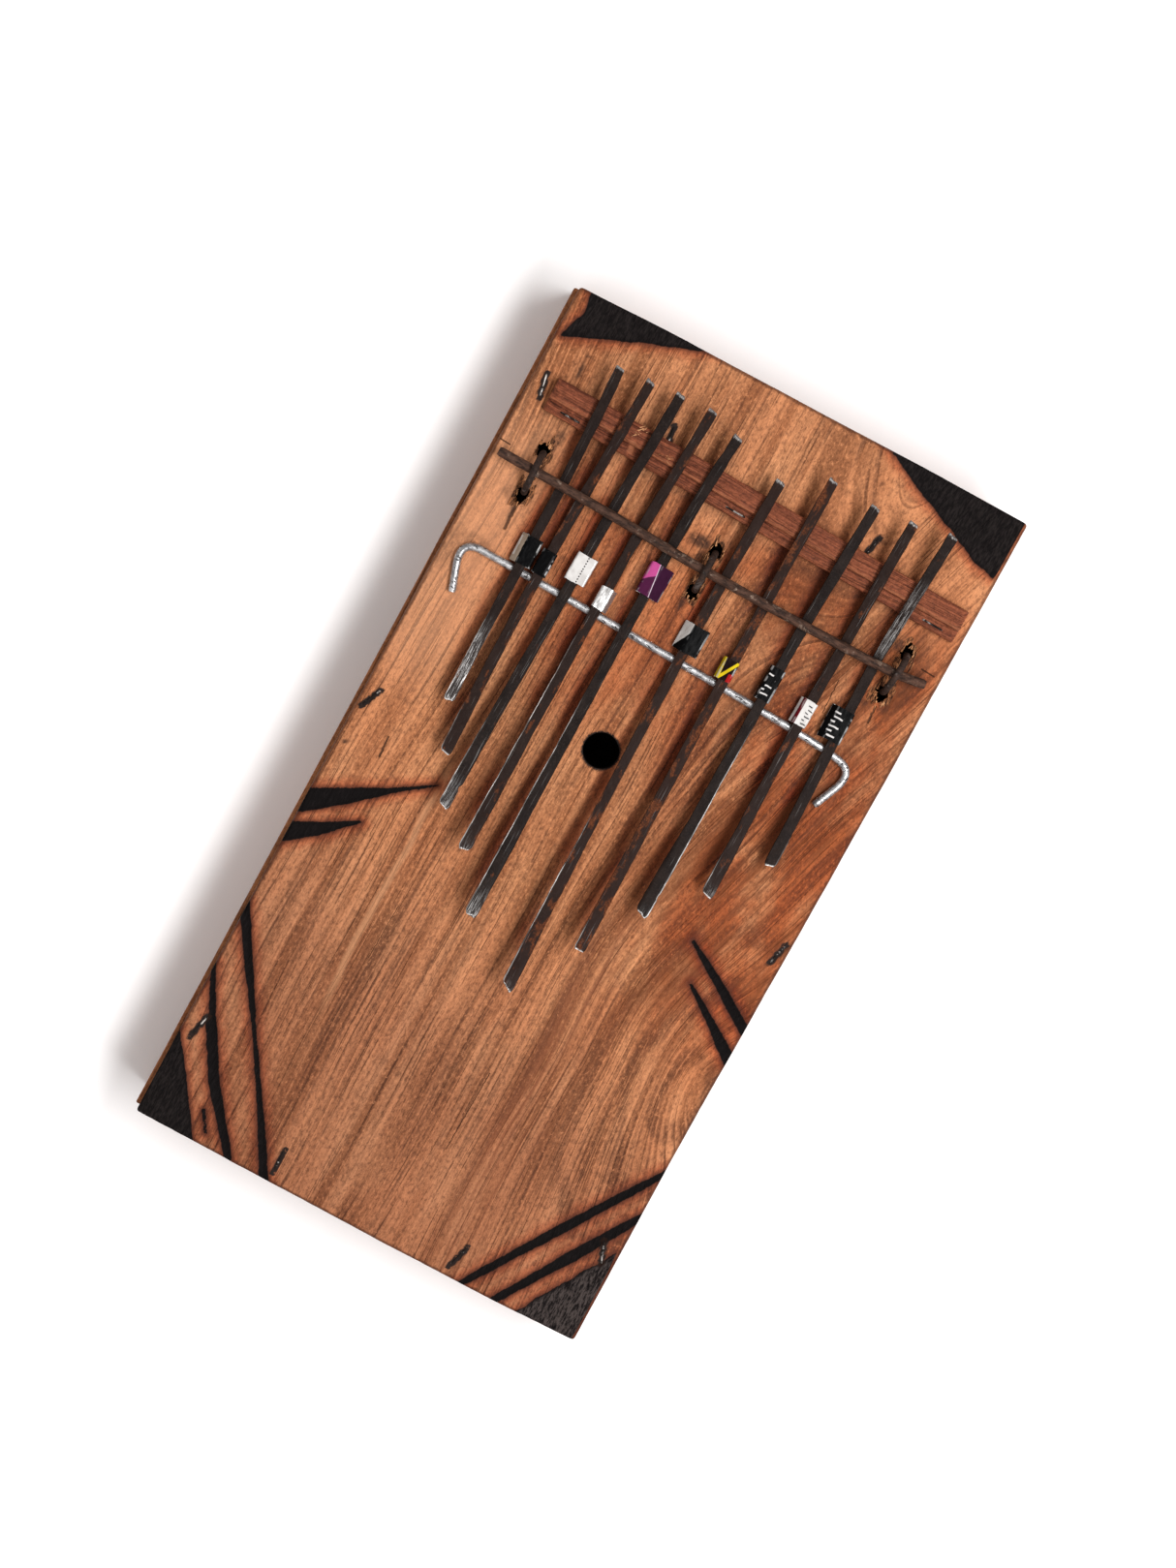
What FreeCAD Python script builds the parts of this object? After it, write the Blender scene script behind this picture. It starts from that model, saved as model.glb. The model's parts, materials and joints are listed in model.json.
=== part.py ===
"""Box mbira: ten hammered steel tines held by a pressure bar across a wooden sound box.

Sizes are in millimetres. +Z is up, from the back board to the tines. +Y runs from the tail, where the
player's thumbs are, to the head. +X is to the player's right. The origin is on the underside, below
the middle of the soundboard.
"""

import FreeCAD
import Part
import math
import os

from collections import namedtuple
from FreeCAD import Placement, Rotation, Vector

# Sound box
BOARD_CORNERS = [(-67.0, -127.1), (67.0, -126.2), (68.1, 126.5), (-67.0, 125.1)]  # sawn a little out of square
BOARD_THICKNESS = 5.0
BOARD_EDGE_BEVEL = 0.6
BACK_THICKNESS = 4.0
RAIL_HEIGHT = 23.0
SIDE_RAIL_THICKNESS = 9.0
END_RAIL_THICKNESS = 10.0
BOX_LEFT = -68.3  # the left side rail stands out past the soundboard
BOX_RIGHT = 67.0  # the right one is flush with it at the tail
BOX_TAIL = -126.0
BOX_HEAD = 124.0
BRACE_DEPTH = 12.0
BRACE_HEIGHT = 12.0
BRACE_Y = 101.5
SOUND_HOLE_X = -3.1
SOUND_HOLE_Y = 18.9
SOUND_HOLE_RADIUS = 5.0

BOARD_UNDERSIDE = BACK_THICKNESS + RAIL_HEIGHT
BOARD_TOP = BOARD_UNDERSIDE + BOARD_THICKNESS
INNER_LEFT = BOX_LEFT + SIDE_RAIL_THICKNESS
INNER_RIGHT = BOX_RIGHT - SIDE_RAIL_THICKNESS
END_RAIL_TAIL = (BOX_TAIL, BOX_TAIL + END_RAIL_THICKNESS)
END_RAIL_HEAD = (BOX_HEAD - END_RAIL_THICKNESS, BOX_HEAD)

# Rear bridge: a low wooden bar with a stepped top. The tines bear on the edge of the upper step.
SHOULDER_HEIGHT = 4.2
SHOULDER_OFFSET = -1.0  # the step is a little in front of the bar's middle
SHOULDER_ROUNDING = 0.5
STEP_SLANT = 0.3
BRIDGE_BAR_LEFT = Vector(-60.1, 96.15, 0)
BRIDGE_BAR_RIGHT = Vector(65.1, 93.6, 0)
BRIDGE_BAR_HALF_WIDTH = 4.7
BRIDGE_BAR_REAR_EDGE = 4.0
LEDGE_HEIGHT = 2.5  # the ledge in front of the step falls to the front edge
BRIDGE_BAR_FRONT_EDGE = 2.2

# Tines and the metal that holds them
TINE_THICKNESS = 1.25
TINE_WIDTH = 2.75
TINE_TIP_WIDTH = 3.4
TIP_BOW = 0.4  # how far the hammered tip bulges in plan
PRESSED_HEIGHT = 1.75  # tine centre above the board under the pressure bar
BOW_RADIUS = 25.0  # bend of a tine under the pressure bar
TIP_HEIGHT_BASE = 3.2  # tip centre above the board is this plus a share of the free length
TIP_HEIGHT_SHARE = 0.078
PRESSURE_BAR_RADIUS = 1.35
FRONT_WIRE_RADIUS = 1.1
LOOP_WIRE_RADIUS = 1.0
LOOP_HOLE_CLEARANCE = 0.3
CONTACT_GAP = 0.05
SHOULDER_GAP = 0.06
KNUCKLE_RADIUS = 0.9  # round end of the free length, about its bending axis on the front bridge
KNUCKLE_CLEARANCE = 0.05

TINE_HALF = TINE_THICKNESS / 2
PRESSURE_BAR_Z = BOARD_TOP + PRESSED_HEIGHT + TINE_HALF + CONTACT_GAP + PRESSURE_BAR_RADIUS
FRONT_WIRE_Z = BOARD_TOP + FRONT_WIRE_RADIUS

PRESSURE_BAR_POINTS = [(-65.2, 76.3), (-50.0, 76.05), (-25.0, 75.4), (-2.0, 74.25), (53.0, 74.2), (64.3, 75.8)]
PRESSURE_BAR_BEND = 40.0
FRONT_WIRE_POINTS = [(-58.3, 37.3), (-63.0, 50.9), (-50.0, 50.75), (0.0, 49.8), (49.0, 48.05), (59.3, 46.0),
                     (53.9, 33.4)]
FRONT_WIRE_BEND = 4.0

Tine = namedtuple("Tine", "rear_x rear_y bar_x bridge_x tip_x tip_y")
TINES = [
    Tine(-47.1, 110.8, -45.9, -45.7, -45.4, 11.4),
    Tine(-38.3, 111.4, -39.6, -40.2, -39.6, -1.1),
    Tine(-29.6, 112.2, -31.1, -31.6, -33.2, -13.8),
    Tine(-20.2, 112.4, -21.9, -22.4, -22.9, -21.3),
    Tine(-11.0, 109.5, -12.6, -12.9, -13.1, -35.8),
    Tine(4.4, 104.7, 3.9, 3.5, 4.7, -48.1),
    Tine(16.5, 111.6, 16.5, 16.5, 16.85, -30.4),
    Tine(29.7, 110.8, 28.4, 28.05, 26.85, -14.2),
    Tine(40.5, 111.8, 40.2, 39.65, 39.85, -1.45),
    Tine(51.2, 113.8, 49.7, 50.2, 50.85, 13.4),
]

# Tie loops: where each wire's two legs pass through the soundboard, as (x, y) at the head and tail side
TIE_LOOPS = {
    "tie_loop_left": ((-54.5, 81.2), (-54.1, 69.8)),
    "tie_loop_middle": ((-1.5, 79.7), (-1.7, 68.7)),
    "tie_loop_right": ((56.5, 80.2), (55.6, 68.8)),
}
CLINCH_DROP = 3.2  # the legs' centre line under the board, where they are bent outwards
CLINCH_BEND = 2.0
CLINCH_RUN = 3.5

# Buzz rings: strips of drinks can folded round the tines. Each outline is the outside of the fold, clockwise
# from the top, as (to the right, up) from the tine's centre. front_y is the end towards the player.
RING_SHEET = 0.25
RING_FOLD_RADIUS = 0.45
Ring = namedtuple("Ring", "front_y length outline")
RINGS = [
    Ring(52.2, 8.6, [(-1.6, 1.2), (2.75, 0.98), (2.75, -1.45), (-3.8, -1.35)]),
    Ring(52.1, 7.5, [(-2.4, 1.0), (1.9, 1.05), (2.0, -1.45), (-2.3, -1.45)]),
    Ring(54.9, 8.4, [(-2.5, 1.02), (3.5, 1.15), (3.4, -1.4), (-2.5, -1.45)]),
    Ring(51.7, 6.6, [(-1.85, 1.02), (1.75, 1.15), (3.1, -1.3), (-1.85, -1.4)]),
    Ring(60.7, 9.6, [(0.55, 1.75), (4.4, -1.35), (-3.0, -1.35), (-2.65, 1.05)]),
    Ring(52.5, 8.4, [(-1.0, 1.5), (3.8, 1.0), (3.85, -1.45), (-3.9, -1.4)]),
    Ring(50.9, 6.3, [(-2.4, 1.15), (1.8, 1.02), (1.85, -1.4), (-3.05, -1.2)]),
    Ring(51.1, 10.2, [(-2.2, 1.2), (1.8, 1.05), (1.85, -1.4), (-2.8, -1.3)]),
    Ring(49.9, 7.8, [(-1.9, 1.2), (2.05, 1.02), (2.1, -1.4), (-3.2, -1.3)]),
    Ring(50.3, 9.8, [(-3.2, 1.3), (1.85, 1.05), (1.9, -1.4), (-5.2, -1.2)]),
]

# Fasteners
STAPLE_CROWN = 6.4
STAPLE_WIDTH = 0.9
STAPLE_WIRE = 0.6
STAPLE_LEG = 8.0
STAPLE_PROUD = 0.2
BOARD_STAPLES = [  # one end of the crown, and a point that it runs towards
    ((-63.7, 100.3), (-62.3, 93.5)),
    ((-27.3, 104.3), (-26.5, 99.0)),
    ((34.9, 104.3), (33.8, 99.0)),
    ((-62.6, 5.0), (-65.2, -1.0)),
    ((65.6, -3.4), (64.1, -9.7)),
    ((-61.9, -94.8), (-63.6, -102.0)),
    ((61.3, -97.6), (63.5, -103.6)),
    ((-26.5, -117.0), (-26.4, -124.0)),
    ((29.6, -117.0), (27.6, -124.0)),
]
BRIDGE_STAPLE_X = [-55.9, -5.5, 55.0]
BRIDGE_STAPLE_INSET = 2.0  # in front of the step, on the ledge
BRIDGE_STAPLE_LEG = 6.0
BACK_NAIL_X = [BOX_LEFT + SIDE_RAIL_THICKNESS / 2, BOX_RIGHT - SIDE_RAIL_THICKNESS / 2]
BACK_NAIL_ROWS = [-95.0, -33.0, 33.0, 95.0]
BACK_NAIL_END_X = 35.0
BACK_NAIL_RADIUS = 0.7
BACK_NAIL_LENGTH = 16.0
BACK_NAIL_HEAD_RADIUS = 1.6
FRAME_NAIL_HEIGHTS = [10.0, 21.0]
FRAME_NAIL_RADIUS = 0.9
FRAME_NAIL_LENGTH = 25.0
FRAME_NAIL_HEAD_RADIUS = 1.9
NAIL_HEAD_THICKNESS = 0.7
NAIL_HEAD_SINK = 0.15  # nail heads are driven this far below the wood
END_RAIL_MIDDLES = [sum(END_RAIL_TAIL) / 2, sum(END_RAIL_HEAD) / 2]

PLAN_TOP = BOARD_TOP + 20.0  # above every tine


def rounded_wire(points, radii, closed=False):
    """Straight runs through the points, with an arc of the matching radius at each corner."""
    count = len(points)
    corners = range(count) if closed else range(1, count - 1)
    arcs = {}
    for i in corners:
        corner = points[i]
        back = Vector(points[i - 1] - corner).normalize()
        ahead = Vector(points[(i + 1) % count] - corner).normalize()
        radius = radii[i]
        if radius == 0:
            arcs[i] = (corner, corner, None)
            continue
        half_turn = (math.pi - back.getAngle(ahead)) / 2
        shorter_run = min(points[i - 1].distanceToPoint(corner), points[(i + 1) % count].distanceToPoint(corner))
        setback = min(radius * math.tan(half_turn), 0.45 * shorter_run)
        radius = setback / math.tan(half_turn)
        bisector = Vector(back + ahead).normalize()
        centre = corner + bisector * (radius / math.cos(half_turn))
        arcs[i] = (corner + back * setback, corner + ahead * setback, centre - bisector * radius)
    edges = []
    last = arcs[count - 1][1] if closed else points[0]
    for i in corners:
        enter, leave, middle = arcs[i]
        edges.append(Part.LineSegment(last, enter).toShape())
        if middle is not None:
            edges.append(Part.Arc(enter, middle, leave).toShape())
        last = leave
    if not closed:
        edges.append(Part.LineSegment(last, points[-1]).toShape())
    return Part.Wire(edges)


def swept_round(path, radius):
    """A round bar along a wire."""
    first = path.OrderedEdges[0]
    start = first.valueAt(first.FirstParameter)
    direction = first.tangentAt(first.FirstParameter)
    section = Part.Wire(Part.makeCircle(radius, start, direction))
    return path.makePipeShell([section], True, False)


def box(x_range, y_range, z_range):
    size = [high - low for low, high in (x_range, y_range, z_range)]
    return Part.makeBox(*size, Vector(x_range[0], y_range[0], z_range[0]))


def height_on(points, x):
    """The y of a bar at x, where the bar is given by its corner points from left to right."""
    for (x0, y0), (x1, y1) in zip(points, points[1:]):
        if x0 <= x <= x1:
            return y0 + (y1 - y0) * (x - x0) / (x1 - x0)
    raise ValueError("the bar doesn't reach x = %g" % x)


def pressure_bar_y(x):
    return height_on(PRESSURE_BAR_POINTS, x)


def front_wire_y(x):
    return height_on(FRONT_WIRE_POINTS[1:-1], x)


def shoulder_y(x):
    along = (x - BRIDGE_BAR_LEFT.x) / (BRIDGE_BAR_RIGHT.x - BRIDGE_BAR_LEFT.x)
    return BRIDGE_BAR_LEFT.y + (BRIDGE_BAR_RIGHT.y - BRIDGE_BAR_LEFT.y) * along + SHOULDER_OFFSET


# Tines. A heading is the angle of rise of a line that runs towards -Y.


def heading(start, end):
    return math.atan2(end.z - start.z, start.y - end.y)


def ahead_of(angle):
    return Vector(0, -math.cos(angle), math.sin(angle))


def above(angle):
    return Vector(0, math.sin(angle), math.cos(angle))


class TineLine:
    """Centre line of a tine in side view: down over the rear bridge, bowed under the pressure bar, up to the front
    bridge, and then in a long upward curve to the tip."""

    def __init__(self, tine):
        shoulder = Vector(0, shoulder_y(tine.bar_x), BOARD_TOP + SHOULDER_HEIGHT + SHOULDER_GAP + TINE_HALF)
        pressed = Vector(0, pressure_bar_y(tine.bar_x), BOARD_TOP + PRESSED_HEIGHT)
        self.hinge = Vector(0, front_wire_y(tine.bridge_x),
                            BOARD_TOP + 2 * FRONT_WIRE_RADIUS + CONTACT_GAP + TINE_HALF)
        vertex = pressed
        for _ in range(3):  # the bow rounds the vertex off, so the vertex lies under the pressed point
            self.fall = heading(shoulder, vertex)
            self.rise = heading(vertex, self.hinge)
            half_turn = (self.rise - self.fall) / 2
            vertex = pressed - Vector(0, 0, BOW_RADIUS * (1 / math.cos(half_turn) - 1))
        setback = BOW_RADIUS * math.tan(half_turn)
        self.bow_start = vertex - ahead_of(self.fall) * setback
        self.bow_end = vertex + ahead_of(self.rise) * setback
        self.rear = shoulder - ahead_of(self.fall) * ((tine.rear_y - shoulder.y) / math.cos(self.fall))
        free_length = self.hinge.y - tine.tip_y
        self.tip = Vector(0, tine.tip_y, BOARD_TOP + TIP_HEIGHT_BASE + TIP_HEIGHT_SHARE * free_length)
        chord_heading = heading(self.hinge, self.tip)
        self.tip_heading = 2 * chord_heading - self.rise
        chord = self.hinge.distanceToPoint(self.tip)
        self.tip_radius = chord / (2 * math.sin(chord_heading - self.rise))

    def bow_arc(self, offset):
        """The bend under the pressure bar, offset upwards from the centre line."""
        centre = self.bow_start + above(self.fall) * BOW_RADIUS
        middle = centre - above((self.fall + self.rise) / 2) * (BOW_RADIUS - offset)
        return Part.Arc(self.bow_start + above(self.fall) * offset, middle,
                        self.bow_end + above(self.rise) * offset).toShape()

    def tip_arc(self, offset):
        """The free length, offset upwards from the centre line."""
        centre = self.hinge + above(self.rise) * self.tip_radius
        middle = centre - above((self.rise + self.tip_heading) / 2) * (self.tip_radius - offset)
        return Part.Arc(self.hinge + above(self.rise) * offset, middle,
                        self.tip + above(self.tip_heading) * offset).toShape()

    def knuckle(self, radius):
        """Lower end, middle and upper end of the round joint face behind the bending axis."""
        reach = ahead_of(self.rise) * math.sqrt(radius ** 2 - TINE_HALF ** 2)
        side = above(self.rise) * TINE_HALF
        return self.hinge - reach - side, self.hinge - ahead_of(self.rise) * radius, self.hinge - reach + side

    def clamped_profile(self):
        low, middle, high = self.knuckle(KNUCKLE_RADIUS + KNUCKLE_CLEARANCE)
        up = above(self.fall) * TINE_HALF
        after_bow = above(self.rise) * TINE_HALF
        return Part.Wire([
            Part.LineSegment(self.rear + up, self.bow_start + up).toShape(),
            self.bow_arc(TINE_HALF),
            Part.LineSegment(self.bow_end + after_bow, high).toShape(),
            Part.Arc(high, middle, low).toShape(),
            Part.LineSegment(low, self.bow_end - after_bow).toShape(),
            self.bow_arc(-TINE_HALF),
            Part.LineSegment(self.bow_start - up, self.rear - up).toShape(),
            Part.LineSegment(self.rear - up, self.rear + up).toShape(),
        ])

    def free_profile(self):
        low, middle, high = self.knuckle(KNUCKLE_RADIUS)
        up = above(self.rise) * TINE_HALF
        at_tip = above(self.tip_heading) * TINE_HALF
        return Part.Wire([
            Part.Arc(low, middle, high).toShape(),
            Part.LineSegment(high, self.hinge + up).toShape(),
            self.tip_arc(TINE_HALF),
            Part.LineSegment(self.tip + at_tip, self.tip - at_tip).toShape(),
            self.tip_arc(-TINE_HALF),
            Part.LineSegment(self.hinge - up, low).toShape(),
        ])


def tine_plan(tine):
    """The tine's outline seen from above, as a tall solid: even to the front bridge, then wider to the tip."""
    stations = [
        (tine.rear_x, tine.rear_y + 1, TINE_WIDTH),
        (tine.bar_x, pressure_bar_y(tine.bar_x), TINE_WIDTH),
        (tine.bridge_x, front_wire_y(tine.bridge_x), TINE_WIDTH),
        (tine.tip_x, tine.tip_y + TIP_BOW, TINE_TIP_WIDTH),
    ]
    left = [Vector(x - width / 2, y, BOARD_TOP) for x, y, width in stations]
    right = [Vector(x + width / 2, y, BOARD_TOP) for x, y, width in reversed(stations)]
    edges = [Part.LineSegment(a, b).toShape() for a, b in zip(left, left[1:])]
    edges.append(Part.Arc(left[-1], Vector(tine.tip_x, tine.tip_y, BOARD_TOP), right[0]).toShape())
    edges += [Part.LineSegment(a, b).toShape() for a, b in zip(right, right[1:] + left[:1])]
    return Part.Face(Part.Wire(edges)).extrude(Vector(0, 0, PLAN_TOP - BOARD_TOP))


def tine_solids(tine):
    """The clamped end and the free playing end of one tine."""
    line = TineLine(tine)
    plan = tine_plan(tine)
    span = plan.BoundBox
    solids = []
    for profile in (line.clamped_profile(), line.free_profile()):
        profile.translate(Vector(span.XMin - 1, 0, 0))
        slab = Part.Face(profile).extrude(Vector(span.XLength + 2, 0, 0))
        solids.append(slab.common(plan).Solids[0])
    return solids


def ring_axis(tine):
    """A point on the tine's straight stretch, at its bending axis, and the stretch's direction to the player."""
    line = TineLine(tine)
    start = Vector(tine.bar_x, pressure_bar_y(tine.bar_x), 0)
    end = Vector(tine.bridge_x, line.hinge.y, line.hinge.z)
    start.z = line.hinge.z - math.tan(line.rise) * (start.y - line.hinge.y)
    return end, Vector(end - start).normalize()


def inset_outline(outline, inset):
    """A clockwise outline with every side moved inwards."""
    moved = []
    for (x0, z0), (x1, z1) in zip(outline, outline[1:] + outline[:1]):
        length = math.hypot(x1 - x0, z1 - z0)
        step_x, step_z = (z1 - z0) / length * inset, -(x1 - x0) / length * inset
        moved.append((x0 + step_x, z0 + step_z, x1 - x0, z1 - z0))
    corners = []
    for (ax, az, adx, adz), (bx, bz, bdx, bdz) in zip(moved[-1:] + moved[:-1], moved):
        along = ((bx - ax) * bdz - (bz - az) * bdx) / (adx * bdz - adz * bdx)
        corners.append((ax + adx * along, az + adz * along))
    return corners


def buzz_ring(tine, ring):
    """A folded strip round the tine, hanging on its top face."""
    hinge, forward = ring_axis(tine)
    right = Vector(0, 0, 1).cross(forward).normalize()
    up = forward.cross(right)
    origin = hinge - forward * ((ring.front_y - hinge.y) / -forward.y)

    def prism(outline, radius):
        points = [origin + right * x + up * z for x, z in outline]
        wire = rounded_wire(points, [radius] * len(points), closed=True)
        return Part.Face(wire).extrude(forward * -ring.length)

    outside = prism(ring.outline, RING_FOLD_RADIUS)
    inside = prism(inset_outline(ring.outline, RING_SHEET), RING_FOLD_RADIUS - RING_SHEET)
    return outside.cut(inside)


# Metal across the tines


def pressure_bar():
    points = [Vector(x, y, PRESSURE_BAR_Z) for x, y in PRESSURE_BAR_POINTS]
    return swept_round(rounded_wire(points, [PRESSURE_BAR_BEND] * len(points)), PRESSURE_BAR_RADIUS)


def front_bridge():
    points = [Vector(x, y, FRONT_WIRE_Z) for x, y in FRONT_WIRE_POINTS]
    return swept_round(rounded_wire(points, [FRONT_WIRE_BEND] * len(points)), FRONT_WIRE_RADIUS)


def tie_loop(head_hole, tail_hole):
    """A wire arch over the pressure bar. Its legs go through the board and are bent outwards under it."""
    head = Vector(*head_hole, 0)
    tail = Vector(*tail_hole, 0)
    middle = (head + tail) / 2
    half = head.distanceToPoint(tail) / 2
    outwards = Vector(head - tail).normalize()
    bar_offset = pressure_bar_y(middle.x) - middle.y
    reach = half - LOOP_WIRE_RADIUS - PRESSURE_BAR_RADIUS - CONTACT_GAP
    spring_z = PRESSURE_BAR_Z - math.sqrt(reach ** 2 - bar_offset ** 2)
    clinch_z = BOARD_UNDERSIDE - CLINCH_DROP

    def at(along, z):
        return middle + outwards * along + Vector(0, 0, z)

    def leg(side):
        """Points of one leg: the end of its clinch, start and middle and end of the bend, top of the leg."""
        bend_z = clinch_z + CLINCH_BEND
        slant = CLINCH_BEND * math.sin(math.pi / 4)
        return (at(side * (half + CLINCH_BEND + CLINCH_RUN), clinch_z),
                at(side * (half + CLINCH_BEND), clinch_z),
                at(side * (half + CLINCH_BEND - slant), bend_z - slant),
                at(side * half, bend_z),
                at(side * half, spring_z))

    end_a, bend_a, turn_a, foot_a, top_a = leg(1)
    end_b, bend_b, turn_b, foot_b, top_b = leg(-1)
    path = Part.Wire([
        Part.LineSegment(end_a, bend_a).toShape(),
        Part.Arc(bend_a, turn_a, foot_a).toShape(),
        Part.LineSegment(foot_a, top_a).toShape(),
        Part.Arc(top_a, at(0, spring_z + half), top_b).toShape(),
        Part.LineSegment(top_b, foot_b).toShape(),
        Part.Arc(foot_b, turn_b, bend_b).toShape(),
        Part.LineSegment(bend_b, end_b).toShape(),
    ])
    return swept_round(path, LOOP_WIRE_RADIUS)


# Fasteners


def staple(start, towards, top_z, leg):
    """A flat-wire staple driven from above. Its crown runs from start towards the other point."""
    outside = box((0, STAPLE_CROWN), (-STAPLE_WIDTH / 2, STAPLE_WIDTH / 2), (-leg, 0))
    inside = box((STAPLE_WIRE, STAPLE_CROWN - STAPLE_WIRE), (-STAPLE_WIDTH, STAPLE_WIDTH), (-leg - 1, -STAPLE_WIRE))
    angle = math.degrees(math.atan2(towards[1] - start[1], towards[0] - start[0]))
    made = outside.cut(inside)
    made.Placement = Placement(Vector(start[0], start[1], top_z), Rotation(Vector(0, 0, 1), angle))
    return made


def board_staples():
    top = BOARD_TOP + STAPLE_PROUD
    return Part.makeCompound([staple(start, towards, top, STAPLE_LEG) for start, towards in BOARD_STAPLES])


def bridge_staples():
    """Staples along the rear bridge's ledge that hold it on the soundboard."""
    top = BOARD_TOP + LEDGE_HEIGHT + STAPLE_PROUD
    made = []
    for x in BRIDGE_STAPLE_X:
        start = (x, shoulder_y(x) - BRIDGE_STAPLE_INSET)
        end = (x + STAPLE_CROWN, shoulder_y(x + STAPLE_CROWN) - BRIDGE_STAPLE_INSET)
        made.append(staple(start, end, top, BRIDGE_STAPLE_LEG))
    return Part.makeCompound(made)


def nail(head_centre, direction, radius, length, head_radius):
    shank = Part.makeCylinder(radius, length - radius * 2, head_centre, direction)
    point = Part.makeCone(radius, 0, radius * 2, head_centre + direction * (length - radius * 2), direction)
    head = Part.makeCylinder(head_radius, NAIL_HEAD_THICKNESS, head_centre, direction)
    return head.fuse([shank, point]).removeSplitter()


def frame_nails():
    """Nails through the side rails into the ends of the end rails."""
    made = []
    for side, face in ((-1, BOX_LEFT), (1, BOX_RIGHT)):
        for y in END_RAIL_MIDDLES:
            for z in FRAME_NAIL_HEIGHTS:
                head = Vector(face - side * NAIL_HEAD_SINK, y, z)
                made.append(nail(head, Vector(-side, 0, 0), FRAME_NAIL_RADIUS, FRAME_NAIL_LENGTH,
                                 FRAME_NAIL_HEAD_RADIUS))
    return Part.makeCompound(made)


def back_nails():
    """Nails through the back board into the rails."""
    places = [(x, y) for x in BACK_NAIL_X for y in BACK_NAIL_ROWS]
    places += [(side * BACK_NAIL_END_X, y) for side in (-1, 1) for y in END_RAIL_MIDDLES]
    return Part.makeCompound([
        nail(Vector(x, y, NAIL_HEAD_SINK), Vector(0, 0, 1), BACK_NAIL_RADIUS, BACK_NAIL_LENGTH,
             BACK_NAIL_HEAD_RADIUS)
        for x, y in places
    ])


def nail_holes(nails):
    """Where driven nails leave the wood: the nails, and the dimple above each sunk head."""
    dimples = []
    for made in nails.Solids:
        flats = [f for f in made.Faces if f.Surface.TypeId == "Part::GeomPlane"]
        cap = max(flats, key=lambda f: f.Area)
        outwards = cap.normalAt(0, 0)
        dimples.append(Part.Face(cap.OuterWire).extrude(outwards * (NAIL_HEAD_SINK + 1)))
    return nails.Solids + dimples


# Sound box


def soundboard():
    corners = [Vector(x, y, BOARD_UNDERSIDE) for x, y in BOARD_CORNERS]
    board = Part.Face(Part.makePolygon(corners + corners[:1])).extrude(Vector(0, 0, BOARD_THICKNESS))
    rim = [e for e in board.Edges if e.BoundBox.ZMin > BOARD_TOP - 1e-6]
    board = board.makeChamfer(BOARD_EDGE_BEVEL, rim)
    through = BOARD_THICKNESS + 2
    below = BOARD_UNDERSIDE - 1
    holes = [Part.makeCylinder(SOUND_HOLE_RADIUS, through, Vector(SOUND_HOLE_X, SOUND_HOLE_Y, below))]
    for legs in TIE_LOOPS.values():
        for x, y in legs:
            holes.append(Part.makeCylinder(LOOP_WIRE_RADIUS + LOOP_HOLE_CLEARANCE, through, Vector(x, y, below)))
    return board.cut(holes)


def side_rail(left, right):
    return box((left, right), (BOX_TAIL, BOX_HEAD), (BACK_THICKNESS, BOARD_UNDERSIDE))


def end_rail(span):
    return box((INNER_LEFT, INNER_RIGHT), span, (BACK_THICKNESS, BOARD_UNDERSIDE))


def back_board():
    return box((BOX_LEFT, BOX_RIGHT), (BOX_TAIL, BOX_HEAD), (0, BACK_THICKNESS))


def brace():
    """Strut between the side rails under the rear bridge, which the board is stapled to."""
    return box((INNER_LEFT, INNER_RIGHT), (BRACE_Y - BRACE_DEPTH / 2, BRACE_Y + BRACE_DEPTH / 2),
               (BOARD_UNDERSIDE - BRACE_HEIGHT, BOARD_UNDERSIDE))


def rear_bridge():
    """The stepped bar, lying a degree or so askew on the board."""
    length_line = BRIDGE_BAR_RIGHT - BRIDGE_BAR_LEFT
    rearwards = Vector(0, 0, 1).cross(Vector(length_line)).normalize()
    section = [(BRIDGE_BAR_HALF_WIDTH, 0), (BRIDGE_BAR_HALF_WIDTH, BRIDGE_BAR_REAR_EDGE),
               (SHOULDER_OFFSET, SHOULDER_HEIGHT), (SHOULDER_OFFSET - STEP_SLANT, LEDGE_HEIGHT),
               (-BRIDGE_BAR_HALF_WIDTH, BRIDGE_BAR_FRONT_EDGE), (-BRIDGE_BAR_HALF_WIDTH, 0)]
    left_end = BRIDGE_BAR_LEFT + Vector(0, 0, BOARD_TOP)
    points = [left_end + rearwards * across + Vector(0, 0, z) for across, z in section]
    wire = rounded_wire(points, [0, 0.6, SHOULDER_ROUNDING, 0.2, 0.5, 0], closed=True)
    return Part.Face(wire).extrude(length_line)


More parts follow.
